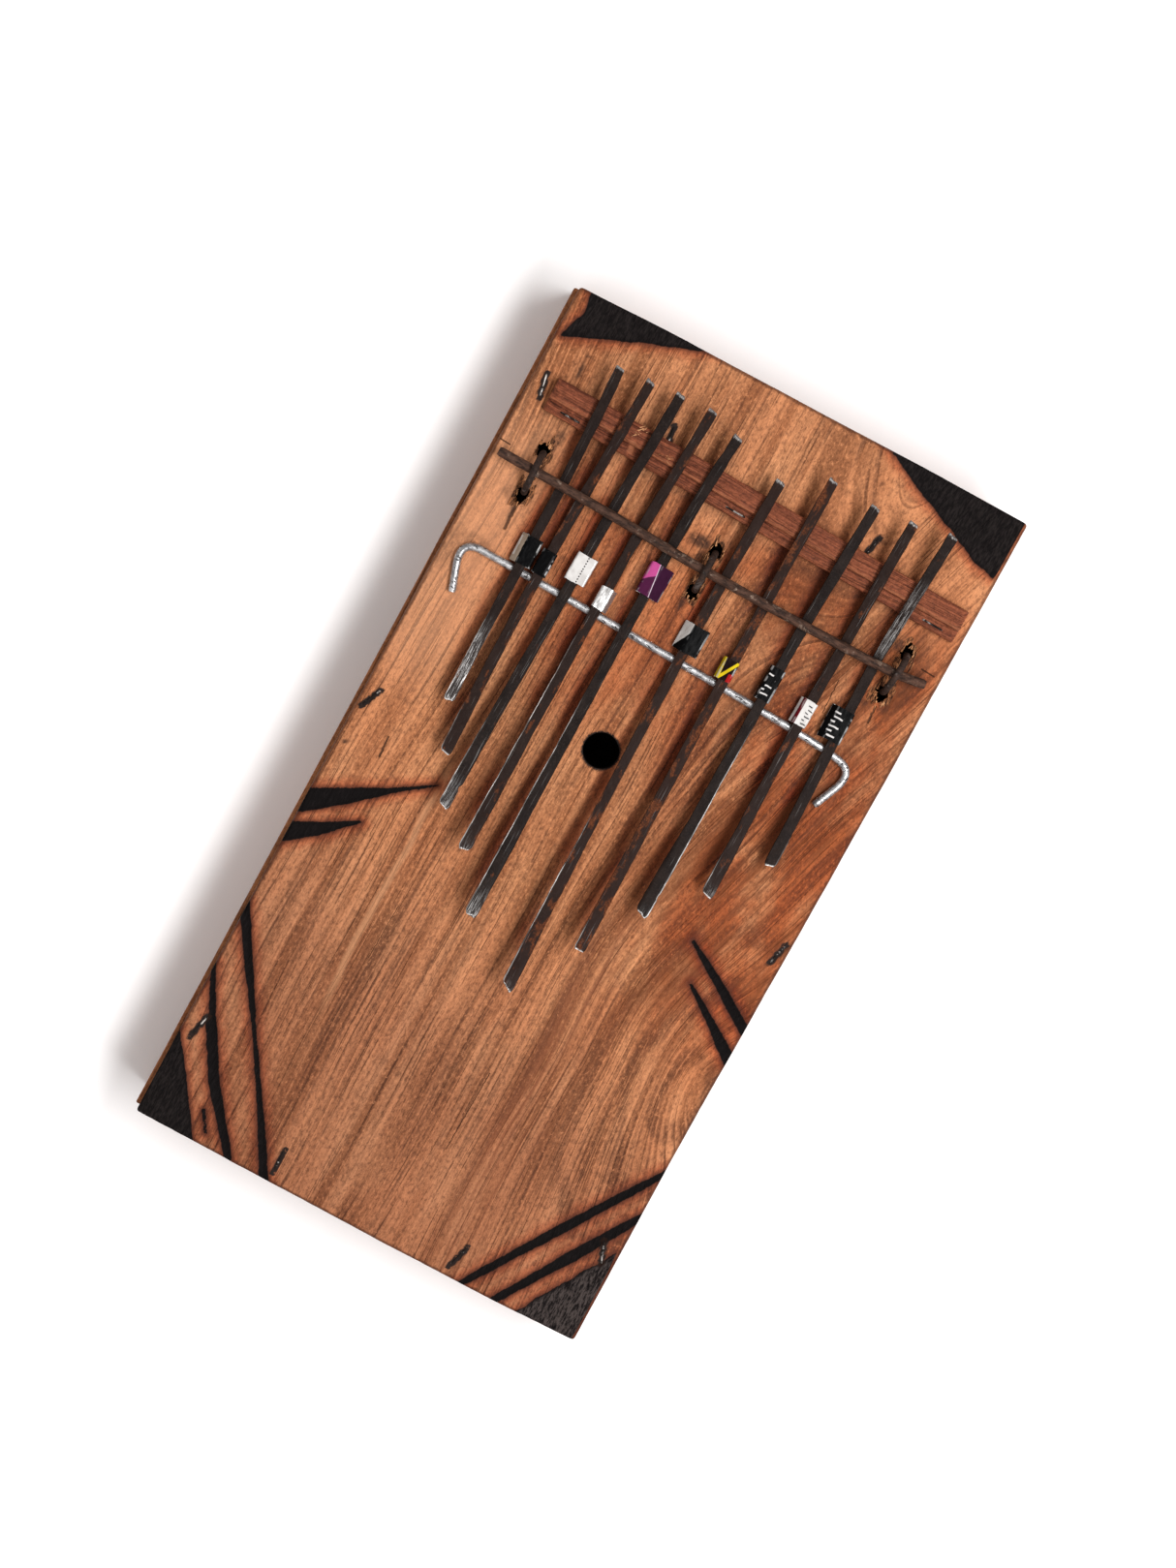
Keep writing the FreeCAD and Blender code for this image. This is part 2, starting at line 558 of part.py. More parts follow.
def build():
    """Every sub-part by node name. Wood is cut away where fasteners are driven in."""
    staples = board_staples()
    bar_staples = bridge_staples()
    rail_nails = frame_nails()
    board_nails = back_nails()
    nail_cuts = nail_holes(rail_nails) + nail_holes(board_nails)
    parts = {
        "soundboard": soundboard().cut(staples.Solids + bar_staples.Solids),
        "side_rail_left": side_rail(BOX_LEFT, INNER_LEFT).cut(staples.Solids + nail_cuts),
        "side_rail_right": side_rail(INNER_RIGHT, BOX_RIGHT).cut(staples.Solids + nail_cuts),
        "end_rail_head": end_rail(END_RAIL_HEAD).cut(staples.Solids + nail_cuts),
        "end_rail_tail": end_rail(END_RAIL_TAIL).cut(staples.Solids + nail_cuts),
        "back_board": back_board().cut(nail_cuts),
        "bridge_brace": brace().cut(staples.Solids),
        "rear_bridge": rear_bridge().cut(staples.Solids + bar_staples.Solids),
        "front_bridge": front_bridge(),
        "pressure_bar": pressure_bar(),
        "soundboard_staples": staples,
        "rear_bridge_staples": bar_staples,
        "frame_nails": rail_nails,
        "back_board_nails": board_nails,
    }
    for name, legs in TIE_LOOPS.items():
        parts[name] = tie_loop(*legs)
    for number, (tine, ring) in enumerate(zip(TINES, RINGS), start=1):
        clamped, free = tine_solids(tine)
        parts["tine_%02d_clamped_end" % number] = clamped
        parts["tine_%02d_playing_end" % number] = free
        parts["buzz_ring_%02d" % number] = buzz_ring(tine, ring)
    return parts


PARTS = build()
os.makedirs("parts", exist_ok=True)
for node_name, shape in PARTS.items():
    assert shape.isValid() and shape.Solids, "%s isn't a valid solid" % node_name
    shape.exportStep("parts/%s.step" % node_name)
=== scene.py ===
import bpy
import json
import math
from collections import namedtuple
import numpy as np
from mathutils import Matrix, Vector


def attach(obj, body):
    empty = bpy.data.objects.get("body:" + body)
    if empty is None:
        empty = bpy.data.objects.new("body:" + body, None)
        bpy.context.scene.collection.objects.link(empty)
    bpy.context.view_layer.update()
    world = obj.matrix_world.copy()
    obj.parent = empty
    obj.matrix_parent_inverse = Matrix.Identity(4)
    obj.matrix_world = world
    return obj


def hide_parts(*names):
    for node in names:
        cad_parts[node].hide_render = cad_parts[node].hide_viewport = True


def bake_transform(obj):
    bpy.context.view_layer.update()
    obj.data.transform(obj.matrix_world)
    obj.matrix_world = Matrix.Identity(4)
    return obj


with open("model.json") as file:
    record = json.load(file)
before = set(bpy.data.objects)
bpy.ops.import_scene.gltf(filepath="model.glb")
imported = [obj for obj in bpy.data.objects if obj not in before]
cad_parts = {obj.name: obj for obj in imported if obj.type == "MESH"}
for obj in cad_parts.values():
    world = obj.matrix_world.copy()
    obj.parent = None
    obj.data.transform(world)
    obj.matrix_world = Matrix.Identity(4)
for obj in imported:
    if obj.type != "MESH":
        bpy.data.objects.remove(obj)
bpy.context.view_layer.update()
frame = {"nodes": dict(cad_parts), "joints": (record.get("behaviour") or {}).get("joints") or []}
JOINTS = {joint["name"]: joint for joint in frame["joints"]}

# Lengths are in millimetres until a mesh is made. +Y runs to the head, +Z up, as in the CAD.
MM = 0.001
MM_PER_M = 1000.0
BOARD_TOP = 32.0
BOARD_BOTTOM = 27.0
BACK_TOP = 4.0
HALF_WIDTH = 67.0
HALF_LENGTH = 125.0
BOX_LEFT = -68.3
BOX_RIGHT = 67.0
BOX_TAIL = -126.0
BOX_HEAD = 124.0
RAIL_THICKNESS = 9.0
SOUND_HOLE = (-3.1, 18.9, 5.0)
FINE = 0.62  # the soundboard's grid
SWINGS = 64

TIE_LOOPS = {
    "left": ((-54.5, 81.2), (-54.1, 69.8)),
    "middle": ((-1.5, 79.7), (-1.7, 68.7)),
    "right": ((56.5, 80.2), (55.6, 68.8)),
}
PRESSURE_BAR = [(-65.1, 76.3), (-50.0, 76.05), (-25.0, 75.4), (-2.0, 74.25), (53.0, 74.2), (64.2, 75.8)]
PRESSURE_BAR_Z = 35.775
PRESSURE_BAR_RADIUS = 1.35
TIE_WIRE_RADIUS = 1.0
FRONT_WIRE = [(-58.3, 37.3), (-63.0, 50.9), (-50.0, 50.75), (-20.0, 50.2), (0.0, 49.8), (20.0, 49.15),
              (49.0, 48.05), (59.3, 46.0), (53.9, 33.4)]
SHOULDER_LEFT = (-60.1, 95.15)
SHOULDER_RIGHT = (65.1, 92.6)
SHOULDER_HEIGHT = 4.2
BRIDGE_TAGS = ((-34.6, 98.2), (-25.5, 96.4))


# Numbers and shapes


def srgb(red, green, blue):
    """A colour from 0 to 255 as the linear values that a shader needs."""
    made = []
    for value in (red, green, blue):
        value /= 255
        made.append(value / 12.92 if value <= 0.04045 else ((value + 0.055) / 1.055) ** 2.4)
    return (*made, 1.0)


def wobble(x, y, seed):
    """Smooth random values from -1 to 1, one swing per unit of x and y, that repeat after SWINGS of them."""
    table = np.random.default_rng(seed).uniform(-1, 1, (SWINGS, SWINGS))
    x = np.asarray(x, float)
    y = np.asarray(y, float)
    xi = np.floor(x).astype(int)
    yi = np.floor(y).astype(int)
    fx = (x - xi) ** 2 * (3 - 2 * (x - xi))
    fy = (y - yi) ** 2 * (3 - 2 * (y - yi))
    x0, x1 = xi % SWINGS, (xi + 1) % SWINGS
    y0, y1 = yi % SWINGS, (yi + 1) % SWINGS
    low = table[x0, y0] * (1 - fx) + table[x1, y0] * fx
    high = table[x0, y1] * (1 - fx) + table[x1, y1] * fx
    return low * (1 - fy) + high * fy


def smooth(value, low, high):
    """0 at low and 1 at high, easing in and out."""
    t = np.clip((value - low) / (high - low), 0, 1)
    return t * t * (3 - 2 * t)


def shade(mesh, sharp, attributes):
    """Store the attributes' values at the verts, and shade smooth except at edges over sharp degrees."""
    for key, values in attributes.items():
        mesh.attributes.new(key, "FLOAT", "POINT").data.foreach_set("value", np.asarray(values, np.float32))
    mesh.polygons.foreach_set("use_smooth", [True] * len(mesh.polygons))
    mesh.set_sharp_from_angle(angle=math.radians(sharp))


def make(name, verts, faces, material, body="sound_box", sharp=38, **attributes):
    """A mesh object in the row frame, riding a CAD body. Verts are in millimetres."""
    mesh = bpy.data.meshes.new(name)
    mesh.from_pydata([(x * MM, y * MM, z * MM) for x, y, z in verts], [], faces)
    shade(mesh, sharp, attributes)
    mesh.materials.append(material)
    obj = bpy.data.objects.new(name, mesh)
    bpy.context.scene.collection.objects.link(obj)
    if body is not None:
        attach(obj, body)
    return obj


def chaikin(points):
    """Cut the corners of a run of points three times, keeping its ends."""
    points = [np.array(p, float) for p in points]
    for _ in range(3):
        cut = [points[0]]
        for a, b in zip(points, points[1:]):
            cut += [a * 0.75 + b * 0.25, a * 0.25 + b * 0.75]
        points = cut + [points[-1]]
    return points


def resample(points, step):
    """Points about a step apart on the same path, and how far along it each is."""
    points = np.array(points, float)
    run = np.concatenate([[0], np.cumsum(np.linalg.norm(np.diff(points, axis=0), axis=1))])
    count = max(2, int(run[-1] / step) + 1)
    at = np.linspace(0, run[-1], count)
    return np.stack([np.interp(at, run, points[:, i]) for i in range(points.shape[1])], 1), at


def headings(path):
    """The way ahead at each point of a path."""
    ahead = np.gradient(path, axis=0)
    return ahead / np.linalg.norm(ahead, axis=1)[:, None]


def tube_faces(rows, around):
    """Faces of a tube of rows rings of verts, closed at both ends."""
    faces = []
    for i in range(rows - 1):
        for j in range(around):
            k = (j + 1) % around
            faces.append((i * around + j, i * around + k, (i + 1) * around + k, (i + 1) * around + j))
    faces.append(tuple(range(around))[::-1])
    faces.append(tuple((rows - 1) * around + j for j in range(around)))
    return faces


def sweep(path, section, scale, up=(0, 0, 1)):
    """Verts and faces of a section (across, up) carried along a path, scaled at each vert, with closed ends."""
    verts = []
    side = None
    for point, ahead, row in zip(path, headings(path), scale):
        side = np.cross(ahead, np.array(up, float)) if side is None else side - ahead * side.dot(ahead)
        side = side / np.linalg.norm(side)
        rise = np.cross(side, ahead)
        verts += [point + side * across * k + rise * high * k for (across, high), k in zip(section, row)]
    return verts, tube_faces(len(path), len(section))


def circle(radius, count):
    return [(radius * math.cos(2 * math.pi * j / count), radius * math.sin(2 * math.pi * j / count))
            for j in range(count)]


def uneven(run, around, amount, run_rate, around_rate, seed):
    """How thick a wire is at each place along it and round it, where 1 is its own thickness."""
    return 1 + amount * wobble(run[:, None] * run_rate, np.arange(around) * around_rate, seed)


def superellipse(half_width, half_height, count, power):
    made = []
    for j in range(count):
        a = 2 * math.pi * (j + 0.5) / count
        c, s = math.cos(a), math.sin(a)
        r = (abs(c) ** power + abs(s) ** power) ** (-1 / power)
        made.append((half_width * r * c, half_height * r * s))
    return made


# Materials


def math_pair(operation):
    """An operator's two methods: with the signal on its left, and with the signal on its right."""
    return (lambda self, other: self.graph.calc(operation, self, other),
            lambda self, other: self.graph.calc(operation, other, self))


class Signal:
    """A node's output. Arithmetic on signals and numbers makes Math nodes."""

    __add__, __radd__ = math_pair("ADD")
    __sub__, __rsub__ = math_pair("SUBTRACT")
    __mul__, __rmul__ = math_pair("MULTIPLY")
    __truediv__, __rtruediv__ = math_pair("DIVIDE")

    def __init__(self, graph, socket):
        self.graph = graph
        self.socket = socket

    def __abs__(self):
        return self.graph.calc("ABSOLUTE", self)


class Graph:
    """Short calls that build one material's nodes. Numbers, colours and signals can feed any input."""

    def __init__(self, name):
        self.material = bpy.data.materials.new(name)
        self.material.use_nodes = True
        self.tree = self.material.node_tree
        self.tree.nodes.clear()

    def node(self, kind, inputs, output=0, **settings):
        made = self.tree.nodes.new(kind)
        for key, value in settings.items():
            setattr(made, key, value)
        for key, value in inputs.items():
            socket = made.inputs[key]
            if isinstance(value, Signal):
                self.tree.links.new(value.socket, socket)
            else:
                socket.default_value = value
        return Signal(self, made.outputs[output]) if made.outputs else None

    def calc(self, operation, a, b=0.0, clamp=False):
        return self.node("ShaderNodeMath", {0: a, 1: b}, operation=operation, use_clamp=clamp)

    def most(self, a, b, clamp=False):
        return self.calc("MAXIMUM", a, b, clamp=clamp)

    def mix(self, amount, a, b, blend="MIX"):
        return self.node("ShaderNodeMix", {0: amount, 6: a, 7: b}, output=2, data_type="RGBA",
                         blend_type=blend)

    def range(self, value, low, high, to_low=0.0, to_high=1.0, kind="SMOOTHSTEP"):
        return self.node("ShaderNodeMapRange", {0: value, 1: low, 2: high, 3: to_low, 4: to_high},
                         interpolation_type=kind)

    def place(self):
        """Object coordinates in millimetres."""
        return self.stretch(self.node("ShaderNodeTexCoord", {}, output=3), *[MM_PER_M] * 3)

    def split(self, vector):
        made = self.tree.nodes.new("ShaderNodeSeparateXYZ")
        self.tree.links.new(vector.socket, made.inputs[0])
        return [Signal(self, made.outputs[k]) for k in range(3)]

    def join(self, x, y, z=0.0):
        return self.node("ShaderNodeCombineXYZ", {0: x, 1: y, 2: z})

    def stretch(self, vector, x, y, z):
        return self.node("ShaderNodeVectorMath", {0: vector, 1: (x, y, z)}, operation="MULTIPLY")

    def noise(self, vector, scale=1.0, detail=3.0, rough=0.5, warp=0.0):
        return self.node("ShaderNodeTexNoise", {"Vector": vector, "Scale": scale, "Detail": detail,
                                                "Roughness": rough, "Distortion": warp})

    def attribute(self, name):
        return self.node("ShaderNodeAttribute", {}, output=2, attribute_name=name)

    def near(self, x, y, start, end, half):
        """1 on a straight stroke of this half width, fading out over as much again."""
        dx, dy = end[0] - start[0], end[1] - start[1]
        length = math.hypot(dx, dy)
        ux, uy = dx / length, dy / length
        rx, ry = x - start[0], y - start[1]
        along = rx * ux + ry * uy
        off = abs(rx * uy - ry * ux)
        inside = self.range(along, -half, half) * self.range(along, length + half, length - half)
        return inside * self.range(off, half * 2, half * 0.5)

    def bump(self, height, depth, normal=None):
        inputs = {"Strength": 1.0, "Distance": depth * MM, "Height": height}
        if normal is not None:
            inputs["Normal"] = normal
        return self.node("ShaderNodeBump", inputs)

    def finish(self, colour, roughness, normal, metallic=0.0, **extra):
        inputs = {"Base Color": colour, "Roughness": roughness, "Normal": normal, "Metallic": metallic}
        inputs.update({key.replace("_", " "): value for key, value in extra.items()})
        shader = self.node("ShaderNodeBsdfPrincipled", inputs)
        self.node("ShaderNodeOutputMaterial", {"Surface": shader})
        return self.material


def wood_figure(g, x, y, z, light, mid, dark, seed, knot=None, bands=0.22, lean=None):
    """Colour, height and fibre of planed wood whose grain runs along y. A knot is a swirl: x, y, half width
    and half length. lean is a signal, how far the grain is pushed sideways."""
    ring = x + (g.noise(g.join(x * 0.013, y * 0.0045, seed * 3.7), 1.0, 2.0) - 0.5) * 26.0
    if lean is not None:
        ring += lean
    if knot is not None:
        kx = (x - knot[0]) / knot[2]
        ky = (y - knot[1]) / knot[3]
        spread = kx * kx + ky * ky
        ring += 17.0 / (1.0 + spread * 1.1)
    wide = g.noise(g.join(ring * bands, y * 0.004, seed), 1.0, 3.0, 0.55)
    thin = g.noise(g.join(ring * (bands * 4.2), y * 0.009, z), 1.0, 2.0, 0.6)
    hair = g.noise(g.join(ring * (bands * 9.0), y * 0.02, z), 1.0, 1.0, 0.5)
    fibre = g.noise(g.join(ring * 2.4, y * 0.1, z * 0.4), 1.0, 3.0, 0.7)
    speck = g.noise(g.join(x * 1.25, y * 0.6, z), 1.0, 3.0, 0.85)
    blotch = g.noise(g.join(x * 0.03, y * 0.016, seed * 1.3), 1.0, 3.0)
    curl = g.noise(g.join(x * 0.5, y * 0.28, z), 1.0, 4.0, 0.75, 0.8)
    pale = tuple(min(1.0, v * 1.35) for v in light[:3]) + (1.0,)
    colour = g.mix(g.range(wide, 0.36, 0.62), light, mid)
    colour = g.mix(g.range(blotch, 0.46, 0.7) * 0.4, colour, pale)
    if knot is not None:
        bend = g.noise(g.join(x * 0.07, y * 0.04, 2.0), 1.0, 3.0, 0.5)
        turn = g.calc("SQRT", spread) + bend * 0.9
        nest = g.range(g.calc("SINE", turn * 9.0), 0.0, 1.0)
        nest *= g.range(turn, 2.9, 2.0) * g.range(turn, 0.3, 0.9)
        colour = g.mix(nest * 0.5, colour, dark)
    for field, low, high, amount, tone in (
            (thin, 0.5, 0.7, 0.6, dark), (thin, 0.46, 0.32, 0.55, pale), (hair, 0.6, 0.7, 0.6, dark),
            (fibre, 0.44, 0.75, 0.4, dark), (curl, 0.5, 0.75, 0.42, dark), (speck, 0.47, 0.68, 0.55, dark),
            (speck, 0.47, 0.3, 0.6, pale)):
        colour = g.mix(g.range(field, low, high) * amount, colour, tone)
    height = speck * -1.6 - g.range(hair, 0.6, 0.7) * 0.8 - curl * 1.2
    return colour, height, fibre


def plain_wood(name, light, mid, dark, axis, seed, painted_shade_above=None):
    """Wood with its grain along the given axis, dirty in patches. Faces above the given height are inside the
    box and are painted near-black as shade.
    """
    g = Graph(name)
    place = g.place()
    x, y, z = g.split(place)
    if axis == "x":
        x, y = y + z * 0.7, x
    else:
        x = x + z * 0.8
    colour, height, fibre = wood_figure(g, x, y, z, light, mid, dark, seed)
    dirt = g.noise(place, 0.05, 4.0, 0.6)
    colour = g.mix(g.range(dirt, 0.45, 0.75) * 0.45, colour, srgb(70, 42, 28))
    rub = g.noise(g.stretch(place, 0.5, 0.5, 2.0), 1.0, 3.0, 0.7)
    colour = g.mix(g.range(rub, 0.62, 0.8) * 0.3, colour, srgb(214, 164, 120))
    # painted shade: faces inside the box are coloured near-black
    if painted_shade_above is not None:
        colour = g.mix(g.range(z, painted_shade_above - 0.3, painted_shade_above), colour, srgb(24, 14, 9))
    rough = g.range(fibre, 0.2, 0.8, 0.5, 0.72, "LINEAR")
    return g.finish(colour, rough, g.bump(height, 0.12), Specular_IOR_Level=0.14)


def board_wood():
    """Orange-brown board: figure, burnt marks from the burn attribute with painted sheen on the char, scorched
    halos, dirt, cracks, and painted shadow beside the tines and the wire's hooks, and painted shade in the
    holes.
    """
    g = Graph("soundboard_wood")
    place = g.place()
    x, y, z = g.split(place)
    light, mid, dark = srgb(194, 132, 90), srgb(150, 94, 58), srgb(70, 36, 19)
    waving = g.range(x, 6.0, 44.0) * g.range(y, -60.0, -15.0)
    right = waving * g.range(y, 104.0, 70.0)
    lean = waving * ((y + 20.0) * -0.28)
    colour, height, fibre = wood_figure(g, x, y, z, light, mid, dark, 5.0, knot=(61.0, -52.0, 14.0, 27.0),
                                        lean=lean)
    # brown stain: round the metal, and on the right where the grain waves
    cloud = g.noise(g.join(x * 0.06, y * 0.026, 3.0), 1.0, 4.0, 0.6)
    played = g.range(y, 12.0, 40.0) * g.range(y, 96.0, 80.0) * g.range(x, -58.0, -20.0, 0.1, 1.0)
    stain = (g.most(played * 0.7, right) + 0.3) * g.range(cloud, 0.34, 0.6)
    colour = g.mix(stain * 0.62, colour, srgb(212, 146, 88), "MULTIPLY")
    lower = g.range(y + x * 0.3, -15.0, -85.0)
    colour = g.mix(lower, colour, srgb(220, 217, 223), "MULTIPLY")
    flank = g.range(x, -46.0, -56.0) * (g.range(y, 0.0, 25.0) * g.range(y, 100.0, 70.0))
    colour = g.mix(flank * 0.3, colour, srgb(222, 164, 124))
    # painted shadow: the wood along the left of each tine is darkened as the tine's cast shadow
    painted_tine_shadow = g.attribute("painted_tine_shadow") * g.range(cloud, 0.28, 0.6, 0.35, 1.0)
    colour = g.mix(painted_tine_shadow * 0.85, colour, srgb(158, 100, 64), "MULTIPLY")
    ripple_x = x * 0.16 + y * -0.05
    ripple_y = x * 0.012 + y * 0.022
    flame = g.noise(g.join(ripple_x, ripple_y, 1.7), 1.0, 3.0, 0.6, 0.6)
    colour = g.mix(right * g.range(flame, 0.47, 0.62) * 0.72, colour, srgb(108, 56, 26))
    tongue = g.noise(g.join(ripple_x * 3.1, ripple_y * 2.4, 2.3), 1.0, 3.0, 0.6, 0.5)
    colour = g.mix(right * g.range(tongue, 0.5, 0.64) * 0.55, colour, srgb(92, 46, 22))
    # a band of dark streaks down the middle right, and one pale streak on the left
    streak_x = x + g.noise(g.join(0.0, y * 0.02), 1.0, 2.0) * 9.0
    streak = g.range(abs(streak_x - 30.0), 9.5, 1.0) * g.range(y, 10.0, -50.0)
    lines = g.noise(g.join(streak_x * 0.85, y * 0.008), 1.0, 2.0)
    colour = g.mix(streak * g.range(lines, 0.42, 0.66, 0.1, 0.8), colour, srgb(112, 62, 38))
    pale_x = x + g.noise(g.join(4.0, y * 0.03), 1.0, 2.0) * 5.0
    pale = g.range(abs(pale_x + 33.8), 1.5, 0.2) * (g.range(y, -86.0, -64.0) * g.range(y, 2.0, -14.0))
    colour = g.mix(pale * 0.5, colour, srgb(200, 144, 104))
    # the rim is darkened and rubbed
    rim = g.range(g.attribute("rim") + g.noise(place, 0.5, 3.0, 0.6) * 1.3, 0.35, 1.0)
    colour = g.mix(rim * 0.7, colour, srgb(70, 38, 24))
    # the burnt decoration
    burn = g.attribute("burn")
    edge = (g.noise(g.stretch(place, 1.0, 0.45, 1.0), 0.9, 3.0, 0.6) - 0.5) * 0.6
    fine_edge = (fibre - 0.5) * 0.5
    ragged = burn + edge + fine_edge
    halo = g.range(burn + edge * 5.0, 4.2, 0.2)
    colour = g.mix(halo * 0.6, colour, srgb(206, 122, 74), "MULTIPLY")
    toast = g.range(ragged + fine_edge * 0.8, 1.5, 0.1)
    colour = g.mix(toast * 0.8, colour, srgb(72, 34, 20))
    char = g.range(ragged, 0.28, 0.02)
    coal = g.noise(g.stretch(place, 2.2, 0.5, 1.0), 0.9, 4.0, 0.75)
    coal_colour = g.mix(g.range(coal, 0.45, 0.75), srgb(14, 11, 11), srgb(24, 20, 20))
    # painted sheen: the char is lightened to grey in patches, most on the tail-right corner
    worn = g.attribute("char_sheen") * g.range(coal, 0.4, 0.62)
    coal_colour = g.mix(worn * 0.45, coal_colour, srgb(108, 96, 92))
    colour = g.mix(char, colour, coal_colour)
    # the walls of the holes and the board's underside inside the box, painted near-black as shade, and the
    # fuzzy scorched ring round the sound hole
    painted_hole_shade = g.range(abs(x), 63.0, 61.0) * g.range(abs(y), 121.0, 119.0)
    painted_hole_shade *= g.range(z, BOARD_TOP - 0.6, BOARD_TOP - 1.0)
    colour = g.mix(painted_hole_shade, colour, srgb(12, 7, 5))
    off_x, off_y = x - SOUND_HOLE[0], y - SOUND_HOLE[1]
    off = g.calc("SQRT", off_x * off_x + off_y * off_y)
    fuzz = g.noise(g.stretch(place, 2.6, 1.4, 1.0), 1.0, 3.0, 0.75)
    scorched = g.range(off + fuzz * 1.6, SOUND_HOLE[2] + 1.45, SOUND_HOLE[2] + 0.85)
    colour = g.mix(scorched, colour, srgb(22, 11, 7))
    # marks of use, dark staple slots, and painted shadow beside the front wire's hooks
    dirt_and_shade = g.attribute("dirt_and_shade")
    patch = g.noise(place, 0.7, 4.0, 0.65)
    colour = g.mix(dirt_and_shade * g.range(patch, 0.25, 0.5) * 0.9, colour, srgb(32, 20, 15))
    crack_x = x + g.noise(g.join(0.0, y * 0.8), 1.0, 2.0) * 0.7
    marks = 0.0
    for start, end, half in CRACKS:
        marks = g.most(marks, g.near(crack_x, y, start, end, half))
    colour = g.mix(marks * 0.85, colour, srgb(48, 28, 18))
    torn = g.attribute("torn")
    shred = g.noise(g.stretch(place, 3.0, 0.5, 1.0), 1.0, 3.0, 0.7)
    torn_colour = g.mix(g.range(shred, 0.42, 0.66), srgb(26, 13, 8), srgb(168, 108, 68))
    colour = g.mix(g.range(torn + shred * 0.6, 0.7, 0.95) * 0.9, colour, torn_colour)
    rough = g.range(fibre, 0.2, 0.8, 0.5, 0.7, "LINEAR")
    rough = g.calc("ADD", rough, char * 0.12, clamp=True)
    height = height + char * coal * 0.6 - marks * 2.5 + torn * shred * 4.0
    shine = g.range(char, 0.0, 1.0, 0.13, 0.05)
    return g.finish(colour, rough, g.bump(height, 0.13), Specular_IOR_Level=shine)


def tine_steel(name, rust, bright, bare_length, bare_side, edge_length, worn, seed):
    """Hammered steel: dark scale, brown rust, and bare metal rubbed bright near the tip and along one edge."""
    g = Graph(name)
    along, across, up = g.attribute("along"), g.attribute("across"), g.attribute("up")
    place = g.join(across * 1.6, along, up * 1.2 + seed * 9.1)
    mottle = g.noise(place, 0.22, 5.0, 0.65)
    grit = g.noise(place, 1.9, 4.0, 0.75)
    drawn = g.noise(g.stretch(place, 3.4, 0.11, 3.0), 1.0, 3.0, 0.65)
    scale = g.mix(g.range(mottle, 0.35, 0.7), srgb(17, 13, 12), srgb(32, 25, 22))
    scale = g.mix(g.range(grit, 0.52, 0.7) * 0.6, scale, srgb(58, 47, 43))
    scale = g.mix(min(0.7, rust * 0.9), scale, srgb(44, 27, 21))
    rust_from = 0.7 - rust * 0.27
    rust_here = g.range(g.noise(g.stretch(place, 1.0, 0.35, 1.0), 0.42, 4.0, 0.6), rust_from, rust_from + 0.1)
    rust_tone = g.mix(g.range(grit, 0.35, 0.7), srgb(58, 31, 20), srgb(118, 66, 38))
    colour = g.mix(rust_here * 0.8, scale, rust_tone)
    rub = g.range(along + mottle * 16.0, bare_length + 10.0, bare_length - 4.0)
    scratch = g.range(g.noise(g.stretch(place, 4.5, 0.22, 4.0), 1.0, 3.0, 0.75), 0.5, 0.58)
    bare = rub * (0.06 + scratch * 0.94) * bright
    edge = g.range(across * bare_side, 0.78, 0.92) * g.range(drawn, 0.36, 0.5)
    edge *= g.range(along + mottle * 14.0, edge_length + 14.0, edge_length - 2.0)
    stray = g.range(g.noise(g.stretch(place, 6.0, 0.09, 5.0), 1.0, 1.0, 0.5), 0.7, 0.76) * 0.22
    bare = g.most(g.most(bare, edge), stray)
    if worn is not None:
        rubbed = g.range(along, worn[0], worn[0] + 3.0) * g.range(along, worn[1], worn[1] - 8.0)
        bare = g.most(bare, rubbed * scratch * 0.42)
    ends = g.range(along + grit, 0.95, 0.6)
    rear = g.range(g.attribute("rear") + grit * 1.6, 1.5, 1.0)
    bare = g.most(g.most(bare, ends), rear * 0.5, clamp=True)
    steel = g.mix(g.range(drawn, 0.35, 0.7), srgb(120, 116, 114), srgb(226, 224, 222))
    colour = g.mix(bare, colour, steel)
    metallic = bare * 0.85
    rough = g.range(grit, 0.2, 0.8, 0.42, 0.62, "LINEAR") + rust_here * 0.2
    rough = g.calc("SUBTRACT", rough, bare * 0.06, clamp=True)
    hammered = g.bump(g.noise(place, 0.36, 2.0, 0.4), 0.28)
    pitted = g.bump(grit * 0.7 + drawn * 0.5, 0.06, hammered)
    return g.finish(colour, rough, pitted, metallic, Specular_IOR_Level=0.07)


def rusty_metal(name, base, rust_light, rust_dark, rust, metallic, seed):
    """Wire or bar stock with patches of rust and rubbed spots."""
    g = Graph(name)
    place = g.place()
    spot = g.noise(place, 0.35, 5.0, 0.65, 0.4)
    grit = g.noise(place, 2.4, 4.0, 0.75)
    tone = g.noise(g.stretch(place, 0.4, 1.3, 1.3), 0.9, 4.0, 0.7)
    colour = g.mix(g.range(tone, 0.3, 0.7), rust_dark, rust_light)
    colour = g.mix(g.range(grit, 0.5, 0.75) * 0.5, colour, rust_dark)
    clean = g.range(spot + seed * 0.001, rust, rust + 0.12)
    colour = g.mix(clean, colour, base)
    rough = g.calc("SUBTRACT", g.range(grit, 0.25, 0.75, 0.6, 0.85), clean * 0.28, clamp=True)
    metal = (0.15 + clean * 0.85) * metallic
    return g.finish(colour, rough, g.bump(grit + spot, 0.14), metal, Specular_IOR_Level=0.2)


